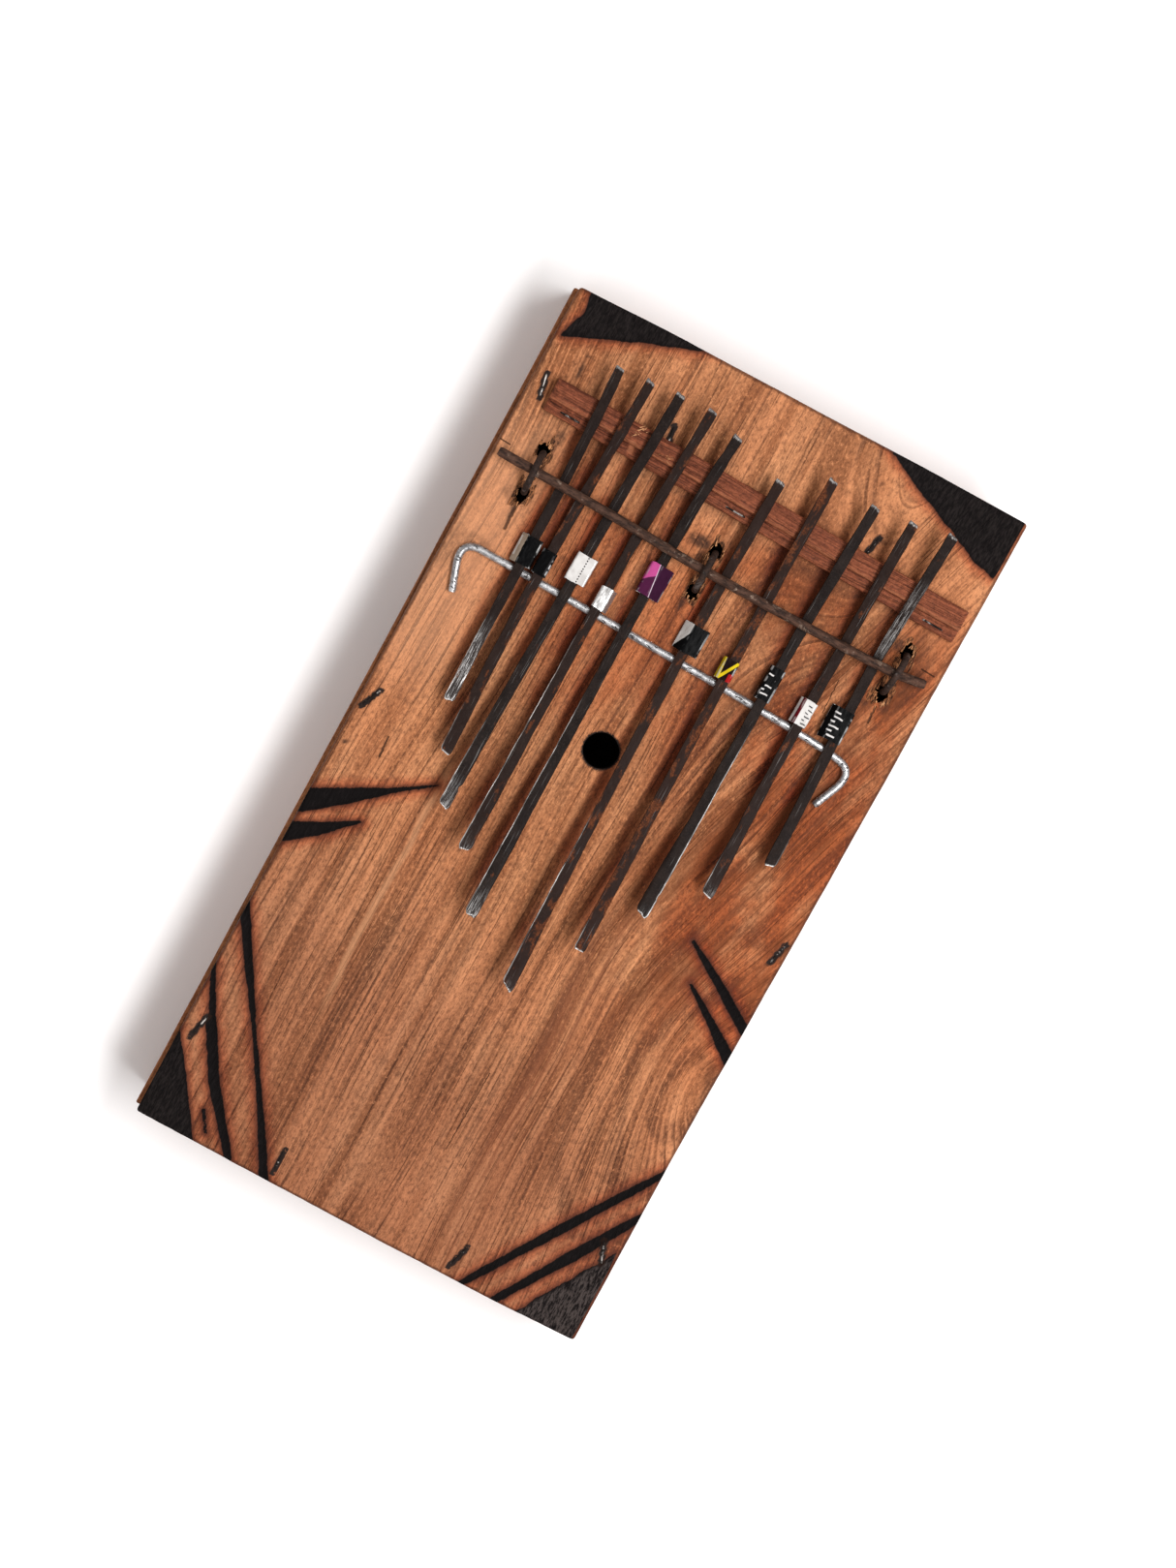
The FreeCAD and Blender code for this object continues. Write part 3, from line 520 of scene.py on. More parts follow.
def bright_wire():
    """Drawn aluminium wire: bright, long draw lines, dark gouges in random patches."""
    g = Graph("bridge_wire")
    place = g.place()
    lines = g.noise(g.stretch(place, 0.16, 3.4, 3.0), 1.0, 3.0, 0.65)
    cloud = g.noise(place, 0.6, 4.0, 0.6)
    gouge = g.range(g.noise(g.stretch(place, 0.55, 1.5, 1.5), 1.0, 4.0, 0.7, 0.6), 0.56, 0.63)
    colour = g.mix(g.range(cloud, 0.35, 0.65), srgb(214, 214, 215), srgb(150, 149, 151))
    colour = g.mix(g.range(lines, 0.52, 0.66) * 0.65, colour, srgb(92, 89, 90))
    colour = g.mix(gouge * 0.85, colour, srgb(44, 40, 39))
    rough = g.range(cloud, 0.3, 0.7, 0.26, 0.44, "LINEAR")
    return g.finish(colour, rough, g.bump(lines * 0.5 - gouge * 1.6, 0.14), 0.85)


def can_metal(name, ground, prints, wear):
    """Drinks-can sheet with its print outside. ground is a colour, or a function that makes one. Each print is
    colour, across range, along range and ragged edge. across is in millimetres from the tine's middle to the
    right, along is from 0 at the player's end to 1."""
    g = Graph(name)
    across, along, bare = g.attribute("across"), g.attribute("along"), g.attribute("bare")
    place = g.place()
    shake = g.noise(place, 0.9, 3.0, 0.6) - 0.5
    colour = ground(g, across, along) if callable(ground) else ground
    for tone, (a0, a1), (b0, b1), ragged in prints:
        a = across + shake * ragged
        b = along + shake * (ragged * 0.16)
        inside = g.range(a, a0 - 0.08, a0 + 0.08) * g.range(a, a1 + 0.08, a1 - 0.08)
        inside *= g.range(b, b0 - 0.01, b0 + 0.01) * g.range(b, b1 + 0.01, b1 - 0.01)
        colour = g.mix(inside, colour, tone)
    tint = g.noise(place, 0.35, 2.0, 0.5)
    colour = g.mix(g.range(tint, 0.4, 0.7) * 0.22, colour, srgb(120, 104, 92), "MULTIPLY")
    scuff_from = 0.74 - wear * 0.08
    scuff = g.range(g.noise(g.stretch(place, 2.4, 2.4, 2.4), 0.8, 4.0, 0.75), scuff_from, scuff_from + 0.04)
    fold = g.range(g.attribute("fold"), 0.35, 0.8)
    scuff = g.most(scuff * wear, fold * g.range(tint, 0.44, 0.56, 0.0, 0.7))
    metal = g.most(bare, scuff * 0.7, clamp=True)
    brushed = g.noise(g.stretch(place, 5.0, 0.3, 5.0), 1.0, 2.0, 0.6)
    silver = g.mix(g.range(brushed, 0.4, 0.65), srgb(188, 186, 184), srgb(228, 227, 226))
    colour = g.mix(metal, colour, silver)
    rough = g.range(brushed, 0.3, 0.7, 0.28, 0.4, "LINEAR")
    dented = g.bump(g.noise(place, 0.4, 2.0, 0.5), 0.2)
    return g.finish(colour, rough, g.bump(brushed, 0.02, dented), metal * 0.92, Specular_IOR_Level=0.03)


# Wooden boards


def lines_between(low, high, step, edge):
    """Grid lines that are close together in the rounded edges."""
    inner = np.linspace(low + edge * 1.5, high - edge * 1.5, max(2, int((high - low - 3 * edge) / step) + 1))
    start = low + edge * np.array([0.0, 0.35, 0.8])
    return np.concatenate([start, inner, (low + high - start)[::-1]])


def plank(low, high, step, edge, seed, relief=None):
    """Verts and faces of a board with worn edges. relief(x, y) is how far its upper face is sunk."""
    xs = lines_between(low[0], high[0], step[0], edge)
    ys = lines_between(low[1], high[1], step[1], edge)
    X, Y = np.meshgrid(xs, ys, indexing="ij")

    def rounded(x, y, z):
        worn = edge * (1.15 + 0.45 * wobble(x * 0.11, y * 0.11, seed)
                       + 0.3 * wobble(x * 0.5, y * 0.5, seed + 1))
        cx = np.clip(x, low[0] + worn, high[0] - worn)
        cy = np.clip(y, low[1] + worn, high[1] - worn)
        cz = np.minimum(z, high[2] - worn)
        d = np.stack([x - cx, y - cy, z - cz], -1)
        length = np.maximum(np.linalg.norm(d, axis=-1, keepdims=True), 1e-9)
        return np.stack([cx, cy, cz], -1) + d / length * worn[..., None]

    top = rounded(X, Y, np.full_like(X, high[2]))
    if relief is not None:
        top[..., 2] -= relief(X, Y)
    nx, ny = X.shape
    verts = list(top.reshape(-1, 3))
    faces = [(i * ny + j, (i + 1) * ny + j, (i + 1) * ny + j + 1, i * ny + j + 1)
             for i in range(nx - 1) for j in range(ny - 1)]
    rim = [i * ny for i in range(nx)] + [(nx - 1) * ny + j for j in range(1, ny)]
    rim += [i * ny + ny - 1 for i in range(nx - 2, -1, -1)] + [j for j in range(ny - 2, 0, -1)]
    rim_x, rim_y = X.reshape(-1)[rim], Y.reshape(-1)[rim]
    above = rim
    for z in (high[2] - edge * 0.45, high[2] - edge, high[2] - edge * 1.7, (low[2] + high[2]) / 2,
              low[2] + 0.35, low[2]):
        ring = rounded(rim_x, rim_y, np.full_like(rim_x, z))
        inset = 0.3 if z == low[2] else 0.06 * (1 + wobble(rim_x * 0.06 + rim_y * 0.06, z, seed))
        ring[:, 0] -= np.sign(ring[:, 0] - (low[0] + high[0]) / 2) * inset
        ring[:, 1] -= np.sign(ring[:, 1] - (low[1] + high[1]) / 2) * inset
        first = len(verts)
        verts += list(ring)
        below = list(range(first, first + len(rim)))
        for k in range(len(rim)):
            n = (k + 1) % len(rim)
            faces.append((above[k], below[k], below[n], above[n]))
        above = below
    faces.append(tuple(above[::-1]))
    return verts, faces


FAR = 1e9

# Burnt decoration on the soundboard: corner fills and tapering strokes (points, then width at each point)
CORNER_BURNS = [
    [(-63.2, 127.2), (-26.0, 127.2), (-64.9, 111.3), (-62.9, 117.6), (-62.7, 118.4)],
    [(24.0, 127.4), (40.0, 119.9), (50.0, 115.5), (60.0, 111.0), (68.6, 108.6), (68.6, 127.4)],
    [(-67.2, -101.0), (-49.4, -127.3), (-67.2, -127.3)],
    [(68.6, -94.6), (68.6, -127.3), (48.8, -127.3)],
]
STROKES = [
    ([(-67.7, -63.0), (-60.0, -75.2), (-49.0, -92.4), (-36.0, -112.9), (-27.3, -127.5)],
     [2.6, 2.2, 1.0, 1.7, 2.4]),
    ([(-67.5, -81.0), (-61.2, -93.5), (-60.0, -96.5), (-51.9, -110.0), (-38.9, -126.4)],
     [1.0, 1.7, 2.7, 3.0, 1.7]),
    ([(-50.9, -117.9), (-47.6, -123.1)], [0.9, 0.6]),
    ([(67.2, -73.2), (50.0, -99.5), (32.0, -127.5)], [1.7, 2.5, 1.5]),
    ([(67.2, -87.0), (55.0, -106.5), (42.0, -127.4)], [2.0, 2.9, 1.6]),
    ([(-67.5, -31.2), (-57.0, -24.2), (-48.0, -17.8), (-37.0, -10.2)], [6.0, 4.2, 1.3, 0.2]),
    ([(-67.5, -40.8), (-59.0, -35.2), (-50.7, -28.8)], [5.2, 3.3, 0.2]),
    ([(43.4, -14.5), (56.0, -22.0), (67.4, -29.5)], [0.8, 2.4, 2.6]),
    ([(48.2, -24.9), (58.0, -31.5), (67.4, -38.3)], [0.4, 2.2, 3.2]),
]
# Each crack is its start, its end and its half width
CRACKS = [
    ((-54.0, 66.4), (-53.7, 58.5), 0.32), ((56.0, 64.5), (56.3, 59.5), 0.2),
    ((-54.6, -4.8), (-54.2, -11.0), 0.2), ((-66.0, 79.3), (-62.8, 79.1), 0.12),
    ((62.0, 79.0), (66.0, 78.8), 0.12), ((12.0, -96.0), (12.6, -72.0), 0.07),
    ((-31.0, -60.0), (-30.6, -44.0), 0.06), ((44.0, 66.0), (44.4, 56.0), 0.07),
]
# Dark spots, most of them dirt and three of them painted shadow of the front wire's hooks: x, y, half width,
# half length, how dark
DIRT_AND_SHADOW_SPOTS = [
    (-56.2, 105.1, 0.8, 3.2, 0.85), (-64.5, -11.7, 0.9, 0.9, 1.0), (-56.0, 109.5, 1.0, 0.6, 0.6),
    (58.0, 84.0, 3.0, 4.5, 0.35), (-57.0, 84.0, 3.0, 4.0, 0.35), (0.5, 83.0, 2.5, 3.5, 0.3),
    (-20.0, 90.0, 40.0, 2.2, 0.3), (30.0, 88.6, 32.0, 2.0, 0.3), (-6.6, 80.8, 4.2, 2.2, 0.95),
    (-4.0, 77.0, 2.6, 2.6, 0.8), (-3.2, 64.5, 1.1, 3.4, 0.85), (-54.6, 64.5, 0.8, 3.4, 0.8),
    # the spots at (-64.5, 48), (-59.5, 52.5) and (56, 40) are painted shadow of the front wire's hooks
    (-64.5, 48.0, 2.2, 7.5, 0.35), (-59.5, 52.5, 5.5, 2.0, 0.35), (61.0, 75.0, 4.0, 11.0, 0.45),
    (56.0, 40.0, 3.5, 7.0, 0.35), (-52.5, 86.5, 1.6, 3.6, 0.7), (53.6, 82.0, 3.2, 2.6, 0.75),
    (57.5, 65.5, 2.4, 2.6, 0.7), (51.5, 64.0, 2.6, 1.6, 0.7), (-57.5, 68.0, 2.0, 2.6, 0.5),
]


def to_line(X, Y, start, end):
    """Distance to a straight line from start to end, and where the nearest place is, from 0 to 1."""
    dx, dy = end[0] - start[0], end[1] - start[1]
    t = np.clip(((X - start[0]) * dx + (Y - start[1]) * dy) / (dx * dx + dy * dy), 0, 1)
    return np.hypot(X - start[0] - t * dx, Y - start[1] - t * dy), t


def polygon_distance(X, Y, corners):
    """Distance to a polygon's outline, negative inside it."""
    nearest = FAR
    inside = np.zeros(X.shape, bool)
    for (x0, y0), (x1, y1) in zip(corners, corners[1:] + corners[:1]):
        nearest = np.minimum(nearest, to_line(X, Y, (x0, y0), (x1, y1))[0])
        if y0 != y1:
            inside ^= ((y0 > Y) != (y1 > Y)) & (X < (x1 - x0) * (Y - y0) / (y1 - y0) + x0)
    return np.where(inside, -nearest, nearest)


def stroke_distance(X, Y, points, widths):
    """Distance to the side of a stroke whose width changes from point to point, negative inside it."""
    nearest = FAR
    for start, end, w0, w1 in zip(points, points[1:], widths, widths[1:]):
        away, t = to_line(X, Y, start, end)
        nearest = np.minimum(nearest, away - (w0 + (w1 - w0) * t) / 2)
    return nearest


def stroke_field(X, Y):
    """Distance to the burnt strokes, with a shaky outline."""
    field = FAR
    for points, widths in STROKES:
        field = np.minimum(field, stroke_distance(X, Y, points, widths))
    return field + 0.14 * wobble(X * 0.3, Y * 0.3, 21)


def corner_field(X, Y):
    """Distance to the burnt corners, with a shaky outline."""
    field = FAR
    for corners in CORNER_BURNS:
        field = np.minimum(field, polygon_distance(X, Y, corners))
    return field + 0.35 * wobble(X * 0.25, Y * 0.25, 22)


def torn_field(X, Y):
    """1 in the splintered wood round the tie loops' holes, long along the grain."""
    field = np.zeros_like(X)
    for legs in TIE_LOOPS.values():
        for x, y in legs:
            away = np.hypot((X - x) / 1.7, (Y - y) / 2.9) + 0.9 * wobble(X * 1.1, Y * 0.26, 31)
            field = np.maximum(field, smooth(away, 1.7, 1.2))
    return field


def painted_tine_shadow_field(X, Y):
    """1 in the painted shadow along the left of every tine, fading out past its tip and at the bridge."""
    field = np.zeros_like(X)
    for tine in TINES:
        tip_y = tine.centre[-1][1]
        off = np.abs(X - middle_x(tine, Y) + 2.1 + 0.5 * wobble(X * 0.2, Y * 0.12, 33))
        run = smooth(Y, tip_y - 1.0, tip_y + 12.0) * smooth(Y, 108.0, 90.0)
        field = np.maximum(field, smooth(off, 3.6, 0.6) * run)
    return field


# How far the soundboard's edges stand out past the plain rectangle: (place along the edge, distance)
TAIL_EDGE = [(-67, 1.9), (-24, 2.0), (12, 2.0), (36, 1.75), (48, 1.5), (67, 0.9)]
HEAD_EDGE = [(-67, -0.2), (-60, -0.1), (-48, 0.3), (-36, 0.6), (-12, 0.8), (12, 1.05), (36, 1.35), (67, 1.3)]
RIGHT_EDGE = [(-127, 0.2), (-115, 0.1), (-92, -0.05), (-69, -0.25), (-46, -0.05), (0, 0.5), (46, 0.85),
              (90, 0.85), (115, 1.0), (127, 1.0)]


def out_of_square(X, Y):
    """Where points of the plain rectangle go when its edges are pushed out to the true outline."""
    right = np.interp(Y, *zip(*RIGHT_EDGE)) * smooth(X, 40.0, 67.0)
    head = np.interp(X, *zip(*HEAD_EDGE)) * smooth(Y, 90.0, 125.0)
    tail = np.interp(X, *zip(*TAIL_EDGE)) * smooth(Y, -90.0, -125.0)
    return X + right, Y + head - tail


def board_relief(X, Y):
    """How far the soundboard's upper face is sunk."""
    corner = corner_field(X, Y)
    grooves = 0.38 * smooth(stroke_field(X, Y), 0.25, -0.75)
    fills = 0.16 * smooth(corner, 0.3, -1.2)
    rough = 0.02 * (1 + wobble(X * 0.8, Y * 0.25, 41)) * smooth(corner, 0.3, -0.6)
    torn = torn_field(X, Y) * (0.32 + 0.3 * wobble(X * 2.2, Y * 0.6, 32))
    lip = SOUND_HOLE[2] + 0.9 - np.hypot(X - SOUND_HOLE[0], Y - SOUND_HOLE[1])
    crater = 0.15 * smooth(lip, 0, 1.0)
    waves = 0.05 * (1 + wobble(X * 0.035, Y * 0.02, 42))
    dents = 0.05 * smooth(wobble(X * 0.22, Y * 0.2, 43), 0.55, 0.9)
    return grooves + fills + rough + torn + crater + waves + dents


def cutter(x, y, radius, ragged, tall, seed):
    """A rough-walled round plug to cut a hole with, tall times as long in y."""
    around = 44
    verts = []
    levels = (BOARD_BOTTOM - 1, BOARD_BOTTOM + 1.2, BOARD_BOTTOM + 2.6, BOARD_TOP - 0.9, BOARD_TOP - 0.3,
              BOARD_TOP + 1)
    for level, z in enumerate(levels):
        flare = 1.03 if z > BOARD_TOP - 0.5 and radius < 4 else 1.0
        for j in range(around):
            a = 2 * math.pi * j / around
            r = radius * flare + ragged * wobble(a * 2.4, level * 0.7, seed)
            verts.append((x + r * math.cos(a), y + r * tall * math.sin(a), z))
    return verts, tube_faces(len(levels), around)


def cut_holes(board, material):
    """Cut the sound hole and the tie loops' holes through the board."""
    holes = [(*SOUND_HOLE[:2], SOUND_HOLE[2] - 0.12, 0.08, 1.0)]
    holes += [(x - 0.2, y + out, 1.8, 0.5, 1.35)
              for legs in TIE_LOOPS.values() for (x, y), out in zip(legs, (0.7, -0.9))]
    plugs = []
    for number, (x, y, radius, ragged, tall) in enumerate(holes):
        plug = make("plug_%d" % number, *cutter(x, y, radius, ragged, tall, 50 + number), material, body=None)
        cut = board.modifiers.new(plug.name, "BOOLEAN")
        cut.object = plug
        cut.solver = "EXACT"
        plugs.append(plug)
    bpy.context.view_layer.update()
    cut_mesh = bpy.data.meshes.new_from_object(board.evaluated_get(bpy.context.evaluated_depsgraph_get()))
    board.modifiers.clear()
    board.data = cut_mesh
    for plug in plugs:
        bpy.data.objects.remove(plug)


def board_fields(X, Y):
    """What the soundboard's material has to know at each vert."""
    corner = corner_field(X, Y)
    from_right = HALF_WIDTH + np.interp(Y, *zip(*RIGHT_EDGE)) - X
    from_head = HALF_LENGTH + np.interp(X, *zip(*HEAD_EDGE)) - Y
    from_tail = HALF_LENGTH + np.interp(X, *zip(*TAIL_EDGE)) + Y
    from_edge = np.minimum(np.minimum(from_right, X + HALF_WIDTH), np.minimum(from_head, from_tail))
    bare_strip = smooth(from_right + 0.25 * wobble(Y * 0.3, 0.0, 34), 1.15, 0.75)
    bare_strip *= smooth(np.abs(Y), 96.0, 100.0)
    # dirt spots, staple slots, and painted shadow beside the front wire's hooks
    dirt_and_shade = np.zeros_like(X)
    for x, y, half_x, half_y, amount in DIRT_AND_SHADOW_SPOTS:
        dirt_and_shade = np.maximum(dirt_and_shade, amount * smooth(np.hypot((X - x) / half_x, (Y - y) / half_y), 1.2, 0.4))
    for ends in BOARD_STAPLES:
        slot = smooth(stroke_distance(X, Y, ends, (STAPLE_SLOT, STAPLE_SLOT)), 0.35, -0.05)
        dirt_and_shade = np.maximum(dirt_and_shade, STAPLE_SLOT_DARK * slot)
    return {
        "burn": np.minimum(stroke_field(X, Y), corner + 3.0 * bare_strip),
        "rim": 0.9 - from_edge,
        # painted sheen on the charred corners, strongest at the tail right
        "char_sheen": smooth(corner, 0.2, -1.0) * np.where((X > 0) & (Y < 0), 0.8, 0.12),
        "torn": torn_field(X, Y),
        "dirt_and_shade": dirt_and_shade,
        "painted_tine_shadow": painted_tine_shadow_field(X, Y),
    }


def soundboard(material):
    low, high = (-HALF_WIDTH, -HALF_LENGTH, BOARD_BOTTOM), (HALF_WIDTH, HALF_LENGTH, BOARD_TOP)
    verts, faces = plank(low, high, (FINE, FINE), 0.85, 7, lambda X, Y: board_relief(*out_of_square(X, Y)))
    verts = np.array(verts)
    verts[:, 0], verts[:, 1] = out_of_square(verts[:, 0], verts[:, 1])
    board = make("soundboard_top", verts, faces, material, body=None)
    cut_holes(board, material)
    co = np.empty(len(board.data.vertices) * 3)
    board.data.vertices.foreach_get("co", co)
    co = co.reshape(-1, 3) * MM_PER_M
    shade(board.data, 50, board_fields(co[:, 0], co[:, 1]))
    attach(board, "sound_box")
    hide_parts("soundboard")


def box_boards():
    """The rails, the brace under the rear bridge and the back board."""
    step = (3.0, 4.0)
    rail = plain_wood("rail_wood", srgb(178, 116, 76), srgb(144, 86, 52), srgb(80, 42, 24), "y", 2.0)
    end = plain_wood("end_rail_wood", srgb(172, 110, 72), srgb(138, 82, 50), srgb(78, 40, 24), "x", 3.0)
    back = plain_wood("back_wood", srgb(188, 128, 86), srgb(158, 100, 64), srgb(94, 52, 32), "y", 4.0, BACK_TOP)
    z = (BACK_TOP, BOARD_BOTTOM)
    inner_left, inner_right = BOX_LEFT + RAIL_THICKNESS, BOX_RIGHT - RAIL_THICKNESS
    boards = [
        ("side_rail_left", (BOX_LEFT, BOX_TAIL, z[0]), (inner_left, BOX_HEAD, z[1]), rail),
        ("side_rail_right", (inner_right, BOX_TAIL, z[0]), (BOX_RIGHT, BOX_HEAD, z[1]), rail),
        ("end_rail_head", (inner_left, BOX_HEAD - 10, z[0]), (inner_right, BOX_HEAD, z[1]), end),
        ("end_rail_tail", (inner_left, BOX_TAIL, z[0]), (inner_right, BOX_TAIL + 10, z[1]), end),
        ("bridge_brace", (inner_left, 95.5, BOARD_BOTTOM - 12), (inner_right, 107.5, BOARD_BOTTOM), end),
        ("back_board", (BOX_LEFT, BOX_TAIL, 0.0), (BOX_RIGHT, BOX_HEAD, z[0]), back),
    ]
    for number, (node, low, high, material) in enumerate(boards):
        verts, faces = plank(low, high, step, 0.5, 60 + number)
        made = make(node + "_wood", verts, faces, material)
        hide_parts(node)
        "back_wood" if node == "back_board" else "rail_wood"


# Rear bridge


def shoulder_y(x):
    """Where the rear bridge's ridge is at x."""
    along = (x - SHOULDER_LEFT[0]) / (SHOULDER_RIGHT[0] - SHOULDER_LEFT[0])
    return SHOULDER_LEFT[1] + (SHOULDER_RIGHT[1] - SHOULDER_LEFT[1]) * along


def bridge_wood():
    g = Graph("bridge_wood")
    x, y, z = g.split(g.place())
    colour, height, fibre = wood_figure(g, y + z, x, z, srgb(140, 78, 52), srgb(112, 58, 38),
                                        srgb(50, 23, 14), 6.0, bands=0.6)
    shred = g.noise(g.join(x * 0.35, y * 2.4, z), 1.0, 3.0, 0.7)
    worn = g.range(g.attribute("wear") * (shred + 0.35), 0.4, 0.7)
    colour = g.mix(worn * 0.6, colour, srgb(166, 104, 72))
    colour = g.mix(g.range(shred, 0.6, 0.75) * 0.5, colour, srgb(58, 28, 20))
    rough = g.range(fibre, 0.2, 0.8, 0.5, 0.7)
    return g.finish(colour, rough, g.bump(height + shred * 0.8, 0.16), Specular_IOR_Level=0.12)


def rear_bridge():
    """The stepped bar: a thick strip behind, a thinner one in front, nicked where the tines cross."""
    profile = [(5.7, 0.05), (5.7, 1.6), (5.7, 3.3), (5.45, 3.85), (4.9, 4.0), (3.8, 4.04), (2.8, 4.08),
               (1.8, 4.12), (0.8, 4.16), (0.15, 4.15), (-0.08, 3.95), (-0.25, 3.2), (-0.35, 2.65),
               (-0.9, 2.5), (-1.6, 2.44), (-2.3, 2.36), (-3.1, 2.28), (-3.55, 2.1), (-3.7, 1.6), (-3.7, 0.05)]
    count = 320
    xs = np.linspace(SHOULDER_LEFT[0], SHOULDER_RIGHT[0], count)
    verts, faces, wear = [], [], []
    crossing = [tine.centre[0][0] for tine in TINES]
    for x in xs:
        nearest = min(abs(x - c) for c in crossing)
        splinter = smooth(abs(x + 30.0), 13.0, 6.0)
        end_round = 0.5 * max(0.0, 1 - min(x - xs[0], xs[-1] - x) / 1.2) ** 2
        for across, high in profile:
            on_ridge = smooth(abs(across - 0.3), 1.6, 0.1)
            dent = on_ridge * (0.25 * smooth(nearest, 2.6, 1.3) + 0.14 * (1 + wobble(x * 0.7, 0, 71)))
            chip = splinter * smooth(across, 2.5, -1.0) * 0.7 * max(0.0, wobble(x * 0.55, across * 0.5, 72))
            rough = 0.07 * wobble(x * 0.45, across * 1.3, 73)
            y = shoulder_y(x) + across * (1 - 0.04 * end_round) + rough
            lift = high - dent - chip - end_round * (high > 1.5) + (rough if high > 0.5 else 0)
            verts.append((x, y, BOARD_TOP + max(0.05, lift)))
            wear.append(min(1.0, on_ridge * 0.7 + chip * 1.5))
    n = len(profile)
    for i in range(count - 1):
        for j in range(n):
            k = (j + 1) % n
            faces.append((i * n + j, (i + 1) * n + j, (i + 1) * n + k, i * n + k))
    faces.append(tuple(range(n)))
    faces.append(tuple((count - 1) * n + j for j in range(n))[::-1])
    made = make("rear_bridge_wood", verts, faces, bridge_wood(), sharp=50, wear=wear)
    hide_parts("rear_bridge")


# Tines


# centre holds (x, y) from rear to tip. widths are at the rear, bridge, halfway along and tip. steel is how
# rusty, how bright where bare, bare length at the tip, bright side and bright edge's length. nick is how deep
# one side is nicked near the tip. tip is how far the cut end slants, and how ragged it is. worn is a stretch,
# from the tip, that is rubbed bright.
Tine = namedtuple("Tine", "centre widths steel nick tip worn", defaults=(0.0, (0.0, 0.1), None))
TINES = [
    Tine([(-47.1, 110.8), (-46.6, 100), (-45.9, 75), (-45.7, 50), (-45.8, 30), (-45.4, 11.4)],
         (2.8, 2.8, 2.8, 3.1), (0.25, 1.0, 24.0, -1.0, 22.0), tip=(-0.3, 0.5)),
    Tine([(-38.3, 111.4), (-39.6, 75), (-40.2, 50), (-40.1, 25), (-39.6, -1.1)], (2.9, 2.8, 3.0, 3.3),
         (0.5, 0.3, 1.5, -1.0, 8.0), tip=(0.25, 0.1)),
    Tine([(-29.6, 112.2), (-31.1, 75), (-31.6, 50), (-32.5, 15), (-33.2, -13.8)], (2.9, 2.9, 3.0, 3.4),
         (0.15, 0.75, 9.0, -1.0, 24.0), nick=0.45, tip=(0.4, 0.2)),
    Tine([(-20.2, 112.4), (-21.9, 75), (-22.4, 50), (-22.7, 10), (-22.9, -21.3)], (2.8, 2.8, 3.0, 3.4),
         (0.45, 0.5, 6.0, -1.0, 60.0), tip=(-0.3, 0.1)),
    Tine([(-11.0, 109.5), (-12.3, 90), (-12.7, 75), (-12.95, 50), (-13.1, -35.8)], (2.9, 2.9, 3.0, 3.6),
         (0.15, 0.8, 10.0, -1.0, 62.0), tip=(0.2, 0.4)),
    Tine([(4.4, 104.7), (3.9, 75), (3.5, 50), (3.6, 30), (4.1, -20), (4.7, -48.1)], (2.9, 2.9, 2.6, 3.9),
         (0.6, 0.45, 3.0, -1.0, 48.0), tip=(0.9, 0.2)),
    Tine([(16.5, 111.6), (16.5, 75), (16.5, 50), (16.7, 10), (16.85, -30.4)], (2.9, 2.9, 3.0, 3.3),
         (0.75, 0.15, 0.6, -1.0, 4.0), tip=(0.0, 0.0)),
    Tine([(29.7, 110.8), (29.0, 90), (28.4, 75), (28.05, 50), (27.6, 15), (26.85, -14.2)], (2.9, 2.9, 3.1, 3.9),
         (0.15, 0.4, 3.0, 1.0, 52.0), nick=0.25, tip=(0.9, 0.8)),
    Tine([(40.5, 111.8), (40.2, 75), (39.65, 50), (39.8, 20), (39.85, -1.45)], (2.9, 2.9, 3.0, 3.5),
         (0.45, 0.5, 5.0, -1.0, 7.0), tip=(0.4, 0.0)),
    Tine([(51.2, 113.8), (50.3, 90), (49.7, 75), (50.1, 50), (50.6, 30), (50.85, 13.4)], (2.9, 2.9, 3.0, 3.3),
         (0.2, 0.2, 0.8, 1.0, 3.0), tip=(-0.3, 0.0), worn=(62.0, 88.0)),
]
TINE_SECTION = [(1.0, -0.72), (1.0, 0.0), (1.0, 0.72), (0.93, 0.97), (0.55, 1.0), (0.0, 1.01), (-0.55, 1.0),
                (-0.93, 0.97), (-1.0, 0.72), (-1.0, 0.0), (-1.0, -0.72), (-0.93, -0.97), (-0.5, -1.0),
                (0.0, -1.0), (0.5, -1.0), (0.93, -0.97)]


def line_at(points, x):
    """The y of a line through points, at x."""
    return float(np.interp(x, *zip(*points)))


def middle_x(tine, y):
    """Where the tine's middle is at y."""
    xs, ys = zip(*tine.centre[::-1])
    return np.interp(y, ys, xs)


def pluck_hinge(number):
    return np.array(JOINTS["tine_%02d_pluck" % number]["pos_m"]) * MM_PER_M


def tine_height(y, hinge_y, hinge_z, bar_y, rear_y, tip_y):
    """Height of a tine's centre line: over the ridge, down at the bar, up over the bridge, then curving up."""
    low = BOARD_TOP + 1.6
    slope = (hinge_z - low) / (bar_y - hinge_y)
    rear_slope = (BOARD_TOP + SHOULDER_HEIGHT + 0.685 - low) / (rear_y - bar_y)
    front = low + slope * (bar_y - y)
    rear = low + rear_slope * (y - bar_y)
    free = hinge_y - tip_y
    ahead = np.maximum(hinge_y - y, 0)
    tip_z = BOARD_TOP + 3.2 + 0.078 * free
    curve = (tip_z - hinge_z - slope * free) / free ** 2
    bowed = (front + rear) / 2 + np.sqrt(((front - rear) / 2) ** 2 + 0.15 ** 2)
    return bowed + curve * ahead ** 2


